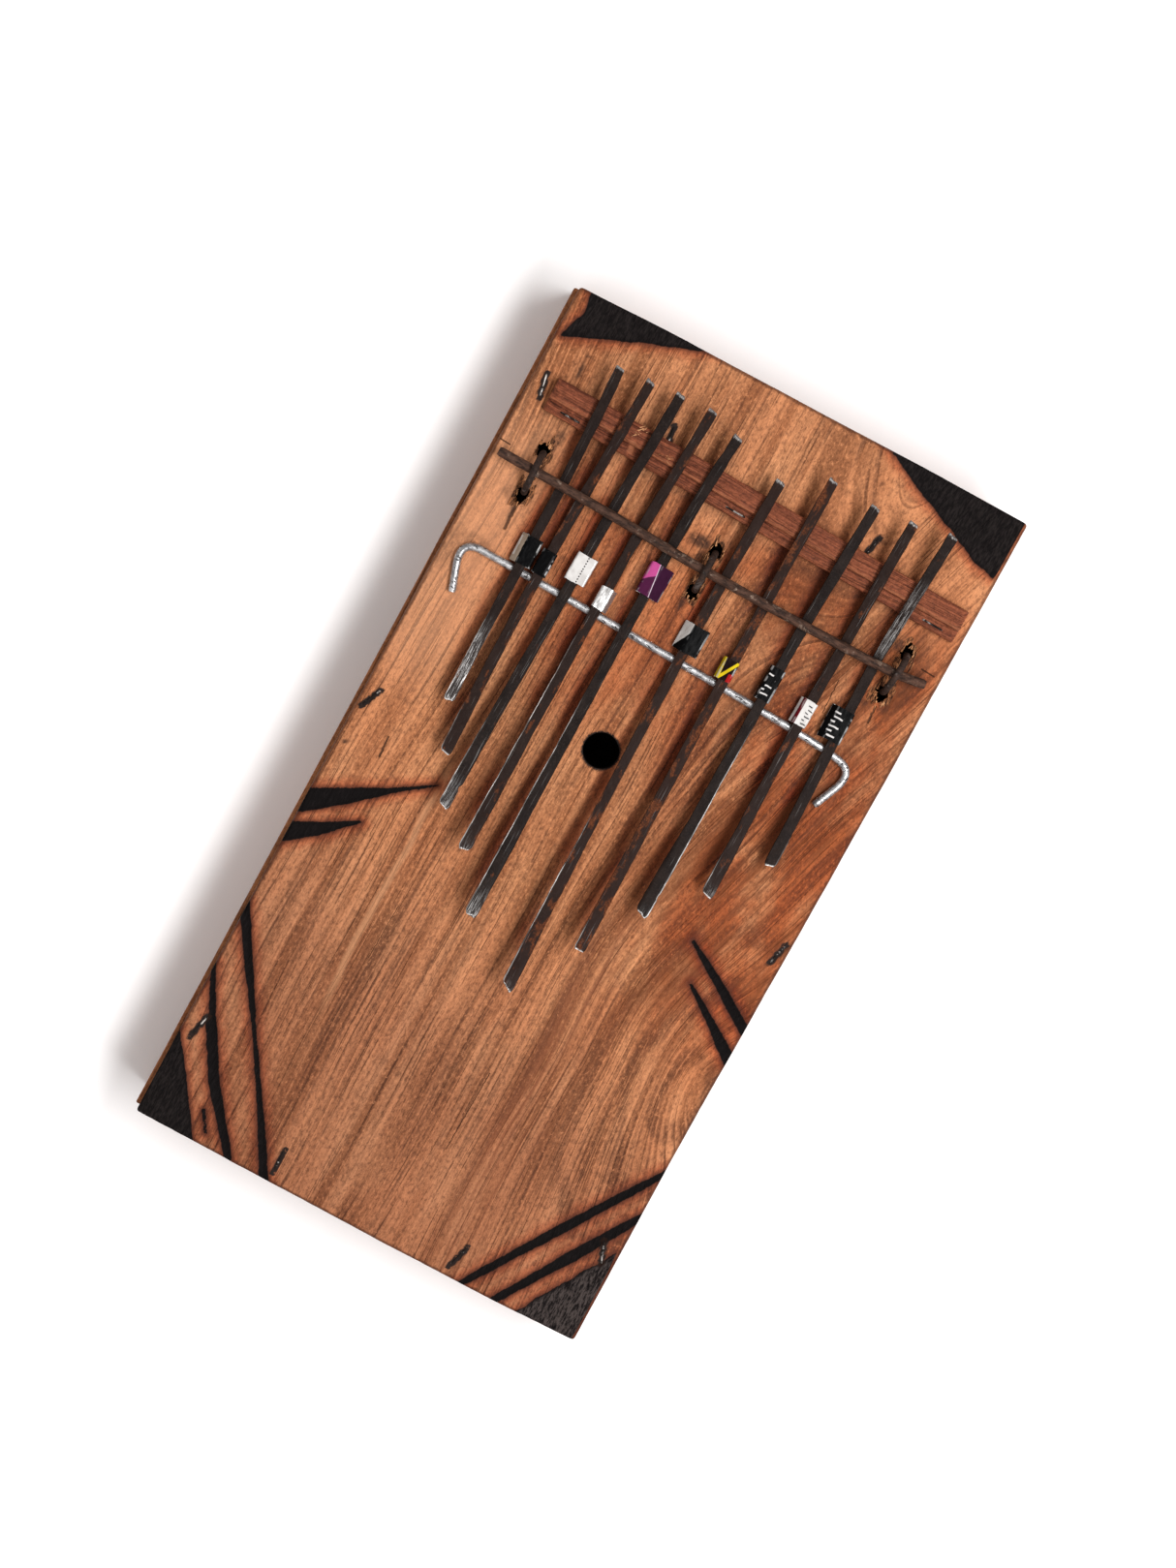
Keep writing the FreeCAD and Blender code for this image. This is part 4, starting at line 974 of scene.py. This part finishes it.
def build_tine(number, tine):
    hinge = pluck_hinge(number)
    rear_y, tip_y = tine.centre[0][1], tine.centre[-1][1]
    count = 230
    ys = np.linspace(rear_y, tip_y, count)
    xs = np.pad(middle_x(tine, ys), 7, mode="edge")
    xs = np.convolve(xs, np.ones(15) / 15, "valid") + 0.06 * wobble(ys * 0.07, 0.0, 80 + number)
    bar_y = line_at(PRESSURE_BAR, hinge[0])
    zs = tine_height(ys, hinge[1], hinge[2], bar_y, shoulder_y(hinge[0]), tip_y)
    half = np.interp(ys, [tip_y, (tip_y + hinge[1]) / 2, hinge[1], rear_y], tine.widths[::-1]) / 2
    half = half + 0.09 * wobble(ys * 0.22, 0.0, 90 + number) + 0.04 * wobble(ys * 0.9, 0.0, 91)
    thick = 0.6 + 0.05 * wobble(ys * 0.16, 1.0, 92 + number)
    from_tip, from_rear = ys - tip_y, rear_y - ys
    half *= 1 - 0.32 * np.clip(1 - from_tip / 1.3, 0, 1) ** 2
    half *= 1 - 0.12 * np.clip(1 - from_rear / 0.8, 0, 1) ** 2
    thick *= 1 - 0.25 * np.clip(1 - from_tip / 3.5, 0, 1) ** 2
    points = np.stack([xs, ys, zs], 1)
    slant, ragged = tine.tip
    verts = []
    for i, ahead in enumerate(headings(points)):
        side = np.array([-1.0, 0, 0]) - ahead * -ahead[0]
        side /= -np.linalg.norm(side)
        rise = np.cross(side, ahead)
        twist = 0.05 * wobble(ys[i] * 0.03, 0.5, 95 + number)
        near_tip = smooth(from_tip[i], 4.0, 0.0)
        near_rear = smooth(from_rear[i], 1.5, 0.0)
        nick = tine.nick * smooth(abs(from_tip[i] - 6.5), 1.1, 0.2)
        for a, b in TINE_SECTION:
            push = near_tip * (slant * a + ragged * wobble(a * 1.9 + 5, 0.3, 97 + number) - 0.25)
            push += near_rear * (0.3 * a + 0.25 * wobble(a * 1.7, b, 197 + number))
            verts.append(points[i] + side * (a * half[i] - nick * (a > 0.5))
                         + rise * (b * thick[i] + twist * a) + ahead * push)
    around = len(TINE_SECTION)
    across, up = zip(*TINE_SECTION * count)
    material = tine_steel("tine_steel_%02d" % number, *tine.steel, tine.worn, float(number))
    made = make("tine_%02d_steel" % number, verts, tube_faces(count, around), material, body=None, sharp=50,
                along=np.repeat(from_tip, around), across=across, up=up, rear=np.repeat(from_rear, around))
    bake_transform(made)
    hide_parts("tine_%02d_clamped_end" % number, "tine_%02d_playing_end" % number)


# Metal across the tines


ROD_SIDES = 18


def pressure_bar():
    path, run = resample(chaikin([(x, y, PRESSURE_BAR_Z) for x, y in PRESSURE_BAR]), 0.8)
    path[:, 2] += 0.03 * wobble(run * 0.08, 0.0, 101)
    scale = uneven(run, ROD_SIDES, 0.035, 0.6, 0.6, 102) - 0.02
    scale[[0, -1]] *= 0.86
    verts, faces = sweep(path, circle(PRESSURE_BAR_RADIUS - 0.02, ROD_SIDES), scale)
    material = rusty_metal("rusty_iron", srgb(132, 112, 98), srgb(88, 61, 48), srgb(32, 20, 15), 0.56, 0.5, 1.0)
    made = make("pressure_bar_iron", verts, faces, material, sharp=50)
    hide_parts("pressure_bar")


def front_bridge():
    path, run = resample(chaikin([(x, y, BOARD_TOP + 1.12) for x, y in FRONT_WIRE]), 0.6)
    bites = 0.07 * np.maximum(0.0, wobble(run * 0.5, 0.3, 105))
    facing_up = np.maximum(0.0, np.sin(2 * math.pi * np.arange(ROD_SIDES) / ROD_SIDES))
    scale = uneven(run, ROD_SIDES, 0.02, 0.9, 1.0, 106) - bites[:, None] * facing_up
    scale[[0, -1]] *= 0.8
    verts, faces = sweep(path, circle(1.08, ROD_SIDES), scale)
    made = make("front_bridge_wire", verts, faces, bright_wire(), sharp=50)
    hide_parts("front_bridge")


def tie_loop(name, legs, material, seed):
    """Wire over the pressure bar, down through the board, legs bent outwards underneath."""
    head, tail = (np.array([*leg, 0.0]) for leg in legs)
    middle = (head + tail) / 2
    out = (head - tail) / np.linalg.norm(head - tail)
    half = np.linalg.norm(head - tail) / 2
    bar_offset = line_at(PRESSURE_BAR, middle[0]) - middle[1]
    reach = half - TIE_WIRE_RADIUS - PRESSURE_BAR_RADIUS - 0.05
    spring_z = PRESSURE_BAR_Z - math.sqrt(reach ** 2 - bar_offset ** 2)
    clinch_z = BOARD_BOTTOM - 3.2
    leg = [(5.5, 0.0), (1.6, 0.0), (0.4, 0.6), (0.0, 2.2)]  # out past the half width, and up, from the bent end
    path = [middle + out * (half + past) + (0, 0, clinch_z + up) for past, up in leg]
    for k in range(25):
        a = math.pi * k / 24
        path.append(middle + out * half * math.cos(a) + (0, 0, spring_z + half * math.sin(a)))
    path += [middle - out * (half + past) + (0, 0, clinch_z + up) for past, up in leg[::-1]]
    path, run = resample(path, 0.45)
    path[:, 0] += 0.12 * wobble(run * 0.12, 0.0, seed)
    scale = uneven(run, 14, 0.05, 0.8, 0.8, seed + 1)
    verts, faces = sweep(path, circle(TIE_WIRE_RADIUS - 0.05, 14), scale, up=(1, 0, 0))
    made = make("tie_loop_%s_wire" % name, verts, faces, material, sharp=50)
    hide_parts("tie_loop_" + name)


def sliver(base, tip, width, verts, faces):
    """Add one pointed sliver to verts and faces."""
    first = len(verts)
    halfway = base * 0.5 + tip * 0.5
    verts += [base + (-width, 0, 0), base + (width, 0, 0), base + (0, -width, -0.2),
              halfway + (width * 0.5, 0, 0.12), halfway + (-width * 0.6, 0, 0), tip]
    for face in ((0, 2, 4), (2, 1, 3), (2, 3, 4), (0, 4, 3), (0, 3, 1), (4, 3, 5), (0, 1, 2)):
        faces.append(tuple(first + k for k in face))


def splinters():
    """Slivers of torn wood that stand up round the tie loops' holes, and two tufts on the rear bridge."""
    rng = np.random.default_rng(111)
    verts, faces = [], []
    for legs in TIE_LOOPS.values():
        for x, y in legs:
            for _ in range(16):
                a = rng.uniform(0, 2 * math.pi)
                r = rng.uniform(1.6, 2.5)
                base = np.array([x + r * 0.9 * math.cos(a), y + r * 1.35 * math.sin(a), BOARD_TOP - 0.55])
                length = rng.uniform(1.0, 2.6)
                lean = np.array([rng.uniform(-0.25, 0.25),
                                 math.copysign(1, math.sin(a)) * rng.uniform(0.5, 1.0), rng.uniform(0.25, 0.6)])
                tip = base + lean / np.linalg.norm(lean) * length
                tip[2] = min(tip[2], BOARD_TOP + 0.9)
                sliver(base, tip, rng.uniform(0.12, 0.3), verts, faces)
    for x, y in BRIDGE_TAGS:
        for _ in range(9):
            base = np.array([x + rng.uniform(-1.3, 1.3), y + rng.uniform(-1.1, 1.1), BOARD_TOP + 3.8])
            a = rng.uniform(-0.6, 0.9) + (math.pi if rng.uniform() < 0.4 else 0.0)
            length = rng.uniform(1.2, 2.8)
            tip = base + (length * math.cos(a), length * math.sin(a), rng.uniform(0.4, 1.2))
            sliver(base, tip, rng.uniform(0.24, 0.42), verts, faces)
    material = plain_wood("torn_wood", srgb(226, 168, 120), srgb(200, 134, 88), srgb(120, 66, 40), "y", 8.0)
    make("torn_splinters", verts, faces, material, sharp=20)


# Buzz rings: player's end y, length, and the fold's outside, clockwise from the top, as (right, up) of the
# tine's middle

RINGS = [
    (52.2, 8.6, [(-1.6, 1.2), (2.75, 0.98), (2.75, -1.45), (-3.8, -1.35)]),
    (52.1, 7.5, [(-2.4, 1.0), (1.9, 1.05), (2.0, -1.45), (-2.3, -1.45)]),
    (54.9, 8.4, [(-2.5, 1.02), (3.5, 1.15), (3.4, -1.4), (-2.5, -1.45)]),
    (51.7, 6.6, [(-1.85, 1.02), (1.75, 1.15), (3.1, -1.3), (-1.85, -1.4)]),
    (60.7, 9.6, [(0.55, 1.75), (4.4, -1.35), (-3.0, -1.35), (-2.65, 1.05)]),
    (52.5, 8.4, [(-1.0, 1.5), (3.8, 1.0), (3.85, -1.45), (-3.9, -1.4)]),
    (50.9, 6.3, [(-2.4, 1.15), (1.8, 1.02), (1.85, -1.4), (-3.05, -1.2)]),
    (51.1, 10.2, [(-2.2, 1.2), (1.98, 1.05), (2.02, -1.4), (-2.8, -1.3)]),
    (49.9, 7.8, [(-1.9, 1.2), (2.05, 1.02), (2.1, -1.4), (-3.2, -1.3)]),
    (50.3, 9.8, [(-3.2, 1.3), (1.85, 1.05), (1.9, -1.4), (-5.2, -1.2)]),
]
BLACK = srgb(8, 8, 9)
WHITE = srgb(208, 205, 202)


def pink_faces(g, across, along):
    """Magenta over the rear of the left slope, dark purple elsewhere, and a painted highlight, a bright line
    askew between them.
    """
    line = across + along * 1.2
    colour = g.mix(g.range(along - across * 0.09, 0.66, 0.62), srgb(182, 74, 134), srgb(74, 28, 58))
    colour = g.mix(g.range(line, 0.95, 1.15), colour, srgb(52, 22, 44))
    # painted highlight: a bright line askew between the magenta and the purple
    return g.mix(g.range(abs(line - 1.0), 0.14, 0.05), colour, srgb(196, 180, 190))


def pale_corner(g, across, along):
    """Black, with a pale triangle on the rear of the left slope."""
    pale = g.range(across * -0.24 + along, 0.86, 0.92) * g.range(across, -0.95, -1.15)
    return g.mix(pale, BLACK, srgb(188, 184, 180))


def chevron(g, across, along):
    """A yellow angle on black, open to the rear, with red in front on the right."""
    arm = g.range(abs(along - (across * 0.28 + 0.56)), 0.15, 0.11)
    left = g.range(across + along * 0.5, -1.5, -1.7)
    red = g.range(across, 0.3, 0.5) * g.range(along, 0.42, 0.36)
    colour = g.mix(red, srgb(22, 10, 9), srgb(150, 22, 22))
    return g.mix(g.most(arm, left), colour, srgb(204, 178, 22))


def bars(tone, left, right, start, step, lengths):
    """Plain dashes across a ring, evenly spaced, at alternate sides. lengths are parts of the space."""
    made = []
    for k, part in enumerate(lengths):
        length = (right - left) * part
        low = left if k % 2 else right - length
        made.append((tone, (low, low + length), (start + step * k, start + step * (k + 0.34)), 0.2))
    return made


RING_PRINTS = [
    # ring 1's left flap: silver can metal, and a brown-grey band that is a painted reflection of the wood
    (BLACK, [(srgb(150, 134, 118), (-5.0, -1.75), (0.0, 1.0), 0.4),
             (srgb(184, 180, 174), (-5.0, -2.9), (0.2, 0.9), 0.4)], 0.3),
    (BLACK, [(srgb(46, 44, 46), (0.9, 1.3), (0.1, 0.9), 0.3)], 0.35),
    (WHITE, [(srgb(30, 28, 30), (0.75, 1.1), (0.03 + 0.1 * k, 0.085 + 0.1 * k), 0.05) for k in range(10)], 0.3),
    (srgb(196, 195, 194), [], 5.0),
    (pink_faces, [], 0.2),
    (pale_corner, [], 0.3),
    (chevron, [], 0.3),
    (BLACK, bars(WHITE, -1.9, 0.5, 0.14, 0.12, (0.9, 0.35, 0.8, 0.0, 0.0, 0.6)), 0.35),
    (WHITE, [(srgb(84, 14, 22), (-2.3, -1.35), (0.0, 1.0), 0.1)]
     + bars(srgb(56, 54, 56), -0.1, 1.7, 0.08, 0.14, (0.9, 0.45, 0.9, 0.5, 0.8, 0.6)), 0.3),
    (BLACK, bars(WHITE, -3.4, -0.5, 0.1, 0.14, (0.8, 0.5, 1.0, 0.4, 0.9, 0.6)), 0.4),
]


def folded_path(outline, radius):
    """The strip's outer line: it starts under the tine, goes round, and its end laps over its start."""
    count = len(outline)
    lowest = min(range(count), key=lambda k: outline[k][1] + outline[(k + 1) % count][1])
    corners = [np.array(outline[(lowest + 1 + k) % count]) for k in range(count)]
    a, b = corners[-1], corners[0]
    start = a * 0.35 + b * 0.65 + (0.0, 0.2)
    end = a * 0.62 + b * 0.38
    path = [start]
    for k, corner in enumerate(corners):
        before = path[-1] if k == 0 else corners[k - 1]
        after = corners[k + 1] if k + 1 < count else end
        back = (before - corner) / np.linalg.norm(before - corner)
        ahead = (after - corner) / np.linalg.norm(after - corner)
        reach = min(radius * 1.4, 0.4 * np.linalg.norm(before - corner), 0.4 * np.linalg.norm(after - corner))
        p0, p2 = corner + back * reach, corner + ahead * reach
        for t in (0.0, 0.25, 0.5, 0.75, 1.0):
            path.append(p0 * (1 - t) ** 2 + corner * 2 * t * (1 - t) + p2 * t ** 2)
    path.append(end)
    return resample(path, 0.28)[0]


def buzz_ring(number, front_y, length, outline):
    hinge = pluck_hinge(number)
    forward = np.array(JOINTS["buzz_ring_%02d_slide" % number]["axis"], float)
    right = np.cross((0, 0, 1), forward)
    right /= np.linalg.norm(right)
    up = np.cross(forward, right)
    origin = hinge - forward * ((front_y - hinge[1]) / -forward[1])
    path = folded_path(outline, 0.45)
    heading = headings(path)
    inwards = np.stack([heading[:, 1], -heading[:, 0]], 1)
    if (((0.0, -0.1) - path) * inwards).sum() < 0:
        inwards = -inwards
    turn = np.linalg.norm(np.gradient(heading, axis=0), axis=1)
    sheet = 0.2
    rows = 26
    count = len(path)
    verts, across, along, bare, fold = [], [], [], [], []
    for layer in (0, 1):
        for i in range(rows):
            v = i / (rows - 1)
            for j in range(count):
                crinkle = 0.07 * (1 + wobble(j * 0.16, v * 3.0, 120 + number))
                crinkle += 0.05 * (1 + wobble(j * 0.5, v * 7.0, 140 + number))
                p = path[j] + inwards[j] * (crinkle * 0.55 + layer * sheet)
                slant = 0.22 * wobble(j * 0.1, 0.5 if v < 0.5 else 9.5, 160 + number)
                slant += 0.08 * wobble(j * 0.6, v * 2, 161 + number)
                back = length * (0.03 + v * 0.94) + slant
                verts.append(origin + right * p[0] + up * p[1] - forward * back)
                across.append(p[0])
                along.append(v)
                bare.append(1.0 if layer else 0.0)
                fold.append(min(1.0, turn[j] * 2.2))

    def at(layer, i, j):
        return (layer * rows + i) * count + j

    faces = []
    for i in range(rows - 1):
        for j in range(count - 1):
            faces.append((at(0, i, j), at(0, i, j + 1), at(0, i + 1, j + 1), at(0, i + 1, j)))
            faces.append((at(1, i, j), at(1, i + 1, j), at(1, i + 1, j + 1), at(1, i, j + 1)))
        for j in (0, count - 1):
            quad = (at(0, i, j), at(0, i + 1, j), at(1, i + 1, j), at(1, i, j))
            faces.append(quad if j == 0 else quad[::-1])
    for j in range(count - 1):
        for i in (0, rows - 1):
            quad = (at(0, i, j), at(1, i, j), at(1, i, j + 1), at(0, i, j + 1))
            faces.append(quad if i == 0 else quad[::-1])
    ground, prints, wear = RING_PRINTS[number - 1]
    material = can_metal("can_metal_%02d" % number, ground, prints, wear)
    made = make("buzz_ring_%02d_can" % number, verts, faces, material, body="buzz_ring_%02d_body" % number,
                sharp=60, across=across, along=along, bare=bare, fold=fold)
    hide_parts("buzz_ring_%02d" % number)


# Staples and nails

STAPLE_CROWN = 6.4
STAPLE_WIRE = 0.6
STAPLE_SLOT = 1.1
STAPLE_SLOT_DARK = 2.5
BOARD_STAPLES = [
    ((-63.7, 100.3), (-62.3, 93.5)),
    ((-27.3, 104.3), (-26.5, 99.0)),
    ((34.9, 104.3), (33.8, 99.0)),
    ((-62.6, 5.0), (-65.2, -1.0)),
    ((65.6, -3.4), (64.1, -9.7)),
    ((-61.9, -94.8), (-63.6, -102.0)),
    ((61.3, -97.6), (63.5, -103.6)),
    ((-26.5, -117.0), (-26.4, -124.0)),
    ((29.6, -117.0), (27.6, -124.0)),
]


def staple_mesh(start, towards, top, leg, seed):
    """Verts and faces of a staple whose crown runs from start, with its outside at this height."""
    start = np.array([*start, 0.0])
    out = np.array([*towards, 0.0]) - start
    out /= np.linalg.norm(out)
    z = top - STAPLE_WIRE / 2
    side = [(0.3, top - leg), (0.3, z - 0.7), (0.42, z - 0.2), (0.9, z)]
    path = [start + out * along + (0, 0, height) for along, height in side]
    path += [start + out * (STAPLE_CROWN - along) + (0, 0, height) for along, height in side[::-1]]
    path, run = resample(path, 0.3)
    path[:, 2] -= 0.06 * (1 + wobble(run * 0.35, 0.0, seed)) * (path[:, 2] > z - 0.3)
    section = superellipse(0.44, 0.28, 10, 3.2)
    return sweep(path, section, uneven(run, 10, 0.05, 0.7, 1.0, seed + 2), up=-np.cross(out, (0, 0, 1)))


def staples(name, node, places, material):
    """One mesh of several staples. Each place is the start, a point the crown runs towards, height and leg."""
    verts, faces = [], []
    for number, (start, towards, top, leg) in enumerate(places):
        made_verts, made_faces = staple_mesh(start, towards, top, leg, 180 + number)
        first = len(verts)
        verts += made_verts
        faces += [tuple(first + k for k in face) for face in made_faces]
    made = make(name, verts, faces, material, sharp=50)
    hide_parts(node)


# Light, camera and floor


def studio():
    """The sheet of paper underneath, a soft sky, a key light from the right and a fill from the left."""
    floor_mesh = bpy.data.meshes.new("floor")
    floor_mesh.from_pydata([(-4, -4, 0), (4, -4, 0), (4, 4, 0), (-4, 4, 0)], [], [(0, 1, 2, 3)])
    g = Graph("paper")
    place = g.place()
    tone = g.range(g.noise(place, 0.01, 3.0), 0.3, 0.7)
    colour = g.mix(tone, (0.965, 0.957, 0.957, 1.0), (0.975, 0.968, 0.968, 1.0))
    floor_mesh.materials.append(g.finish(colour, 0.9, g.bump(g.noise(place, 2.0, 3.0), 0.02)))
    floor = bpy.data.objects.new("floor", floor_mesh)
    bpy.context.scene.collection.objects.link(floor)
    sky = bpy.data.worlds.new("studio")
    sky.use_nodes = True
    back = sky.node_tree.nodes["Background"]
    back.inputs["Color"].default_value = (1.0, 0.955, 0.94, 1.0)
    back.inputs["Strength"].default_value = 0.46
    bpy.context.scene.world = sky
    bpy.context.scene.view_settings.view_transform = "Standard"
    across = Vector((0.96, 0.22, 0)).normalized()
    lamps = [
        ("key", across * 0.46 + Vector((0, 0, 1.0)), (1.1, 0.36), 19.0),
        ("fill", across * -0.7 + Vector((0.3, -0.5, 1.0)), (0.9, 0.9), 1.6),
    ]
    for name, direction, size, power in lamps:
        data = bpy.data.lights.new(name, "AREA")
        data.shape = "RECTANGLE"
        data.size, data.size_y = size
        data.energy = power
        lamp = bpy.data.objects.new(name, data)
        lamp.location = direction.normalized() * 1.3
        lamp.rotation_euler = direction.to_track_quat("Z", "Y").to_euler()
        bpy.context.scene.collection.objects.link(lamp)


def camera():
    """The photo's own view."""
    data = bpy.data.cameras.new("camera")
    data.lens = 85.0
    data.sensor_width = 36.0
    data.clip_start = 0.01
    view = bpy.data.objects.new("camera", data)
    turn = Matrix(((0.8790826, -0.4765636, -0.0328167), (0.4776162, 0.8756404, 0.0781842),
                   (-0.0085158, -0.0843219, 0.9964022)))
    view.matrix_world = Matrix.Translation(Vector((-34.433, 86.912, 1020.43)) * MM) @ turn.to_4x4()
    bpy.context.scene.collection.objects.link(view)
    bpy.context.scene.camera = view


soundboard(board_wood())
box_boards()
rear_bridge()
for tine_number, one_tine in enumerate(TINES, start=1):
    build_tine(tine_number, one_tine)
pressure_bar()
front_bridge()
loop_wire = rusty_metal("tie_wire", srgb(112, 104, 100), srgb(60, 42, 34), srgb(30, 22, 19), 0.54, 0.85, 2.0)
for loop_number, (loop_name, loop_legs) in enumerate(TIE_LOOPS.items()):
    tie_loop(loop_name, loop_legs, loop_wire, 200 + 10 * loop_number)
splinters()
for ring_number, ring in enumerate(RINGS, start=1):
    buzz_ring(ring_number, *ring)
staple_steel = rusty_metal("staple_steel", srgb(196, 190, 184), srgb(36, 26, 22), srgb(14, 11, 10), 0.52, 0.9,
                           3.0)
staples("soundboard_staples_wire", "soundboard_staples",
        [(start, towards, BOARD_TOP + 0.2, 8.0) for start, towards in BOARD_STAPLES], staple_steel)
crowns = [[(x, shoulder_y(x) - 2.0) for x in (left, left + STAPLE_CROWN)] for left in (-55.9, -5.5, 55.0)]
staples("rear_bridge_staples_wire", "rear_bridge_staples",
        [(start, towards, BOARD_TOP + 2.68, 6.0) for start, towards in crowns], staple_steel)
nail_steel = rusty_metal("nail_steel", srgb(150, 146, 142), srgb(128, 76, 50), srgb(70, 46, 38), 0.5, 0.9, 4.0)
for nail_node in ("frame_nails", "back_board_nails"):
    nails = frame["nodes"][nail_node]
    nails.data.materials.clear()
    nails.data.materials.append(nail_steel)
studio()
camera()
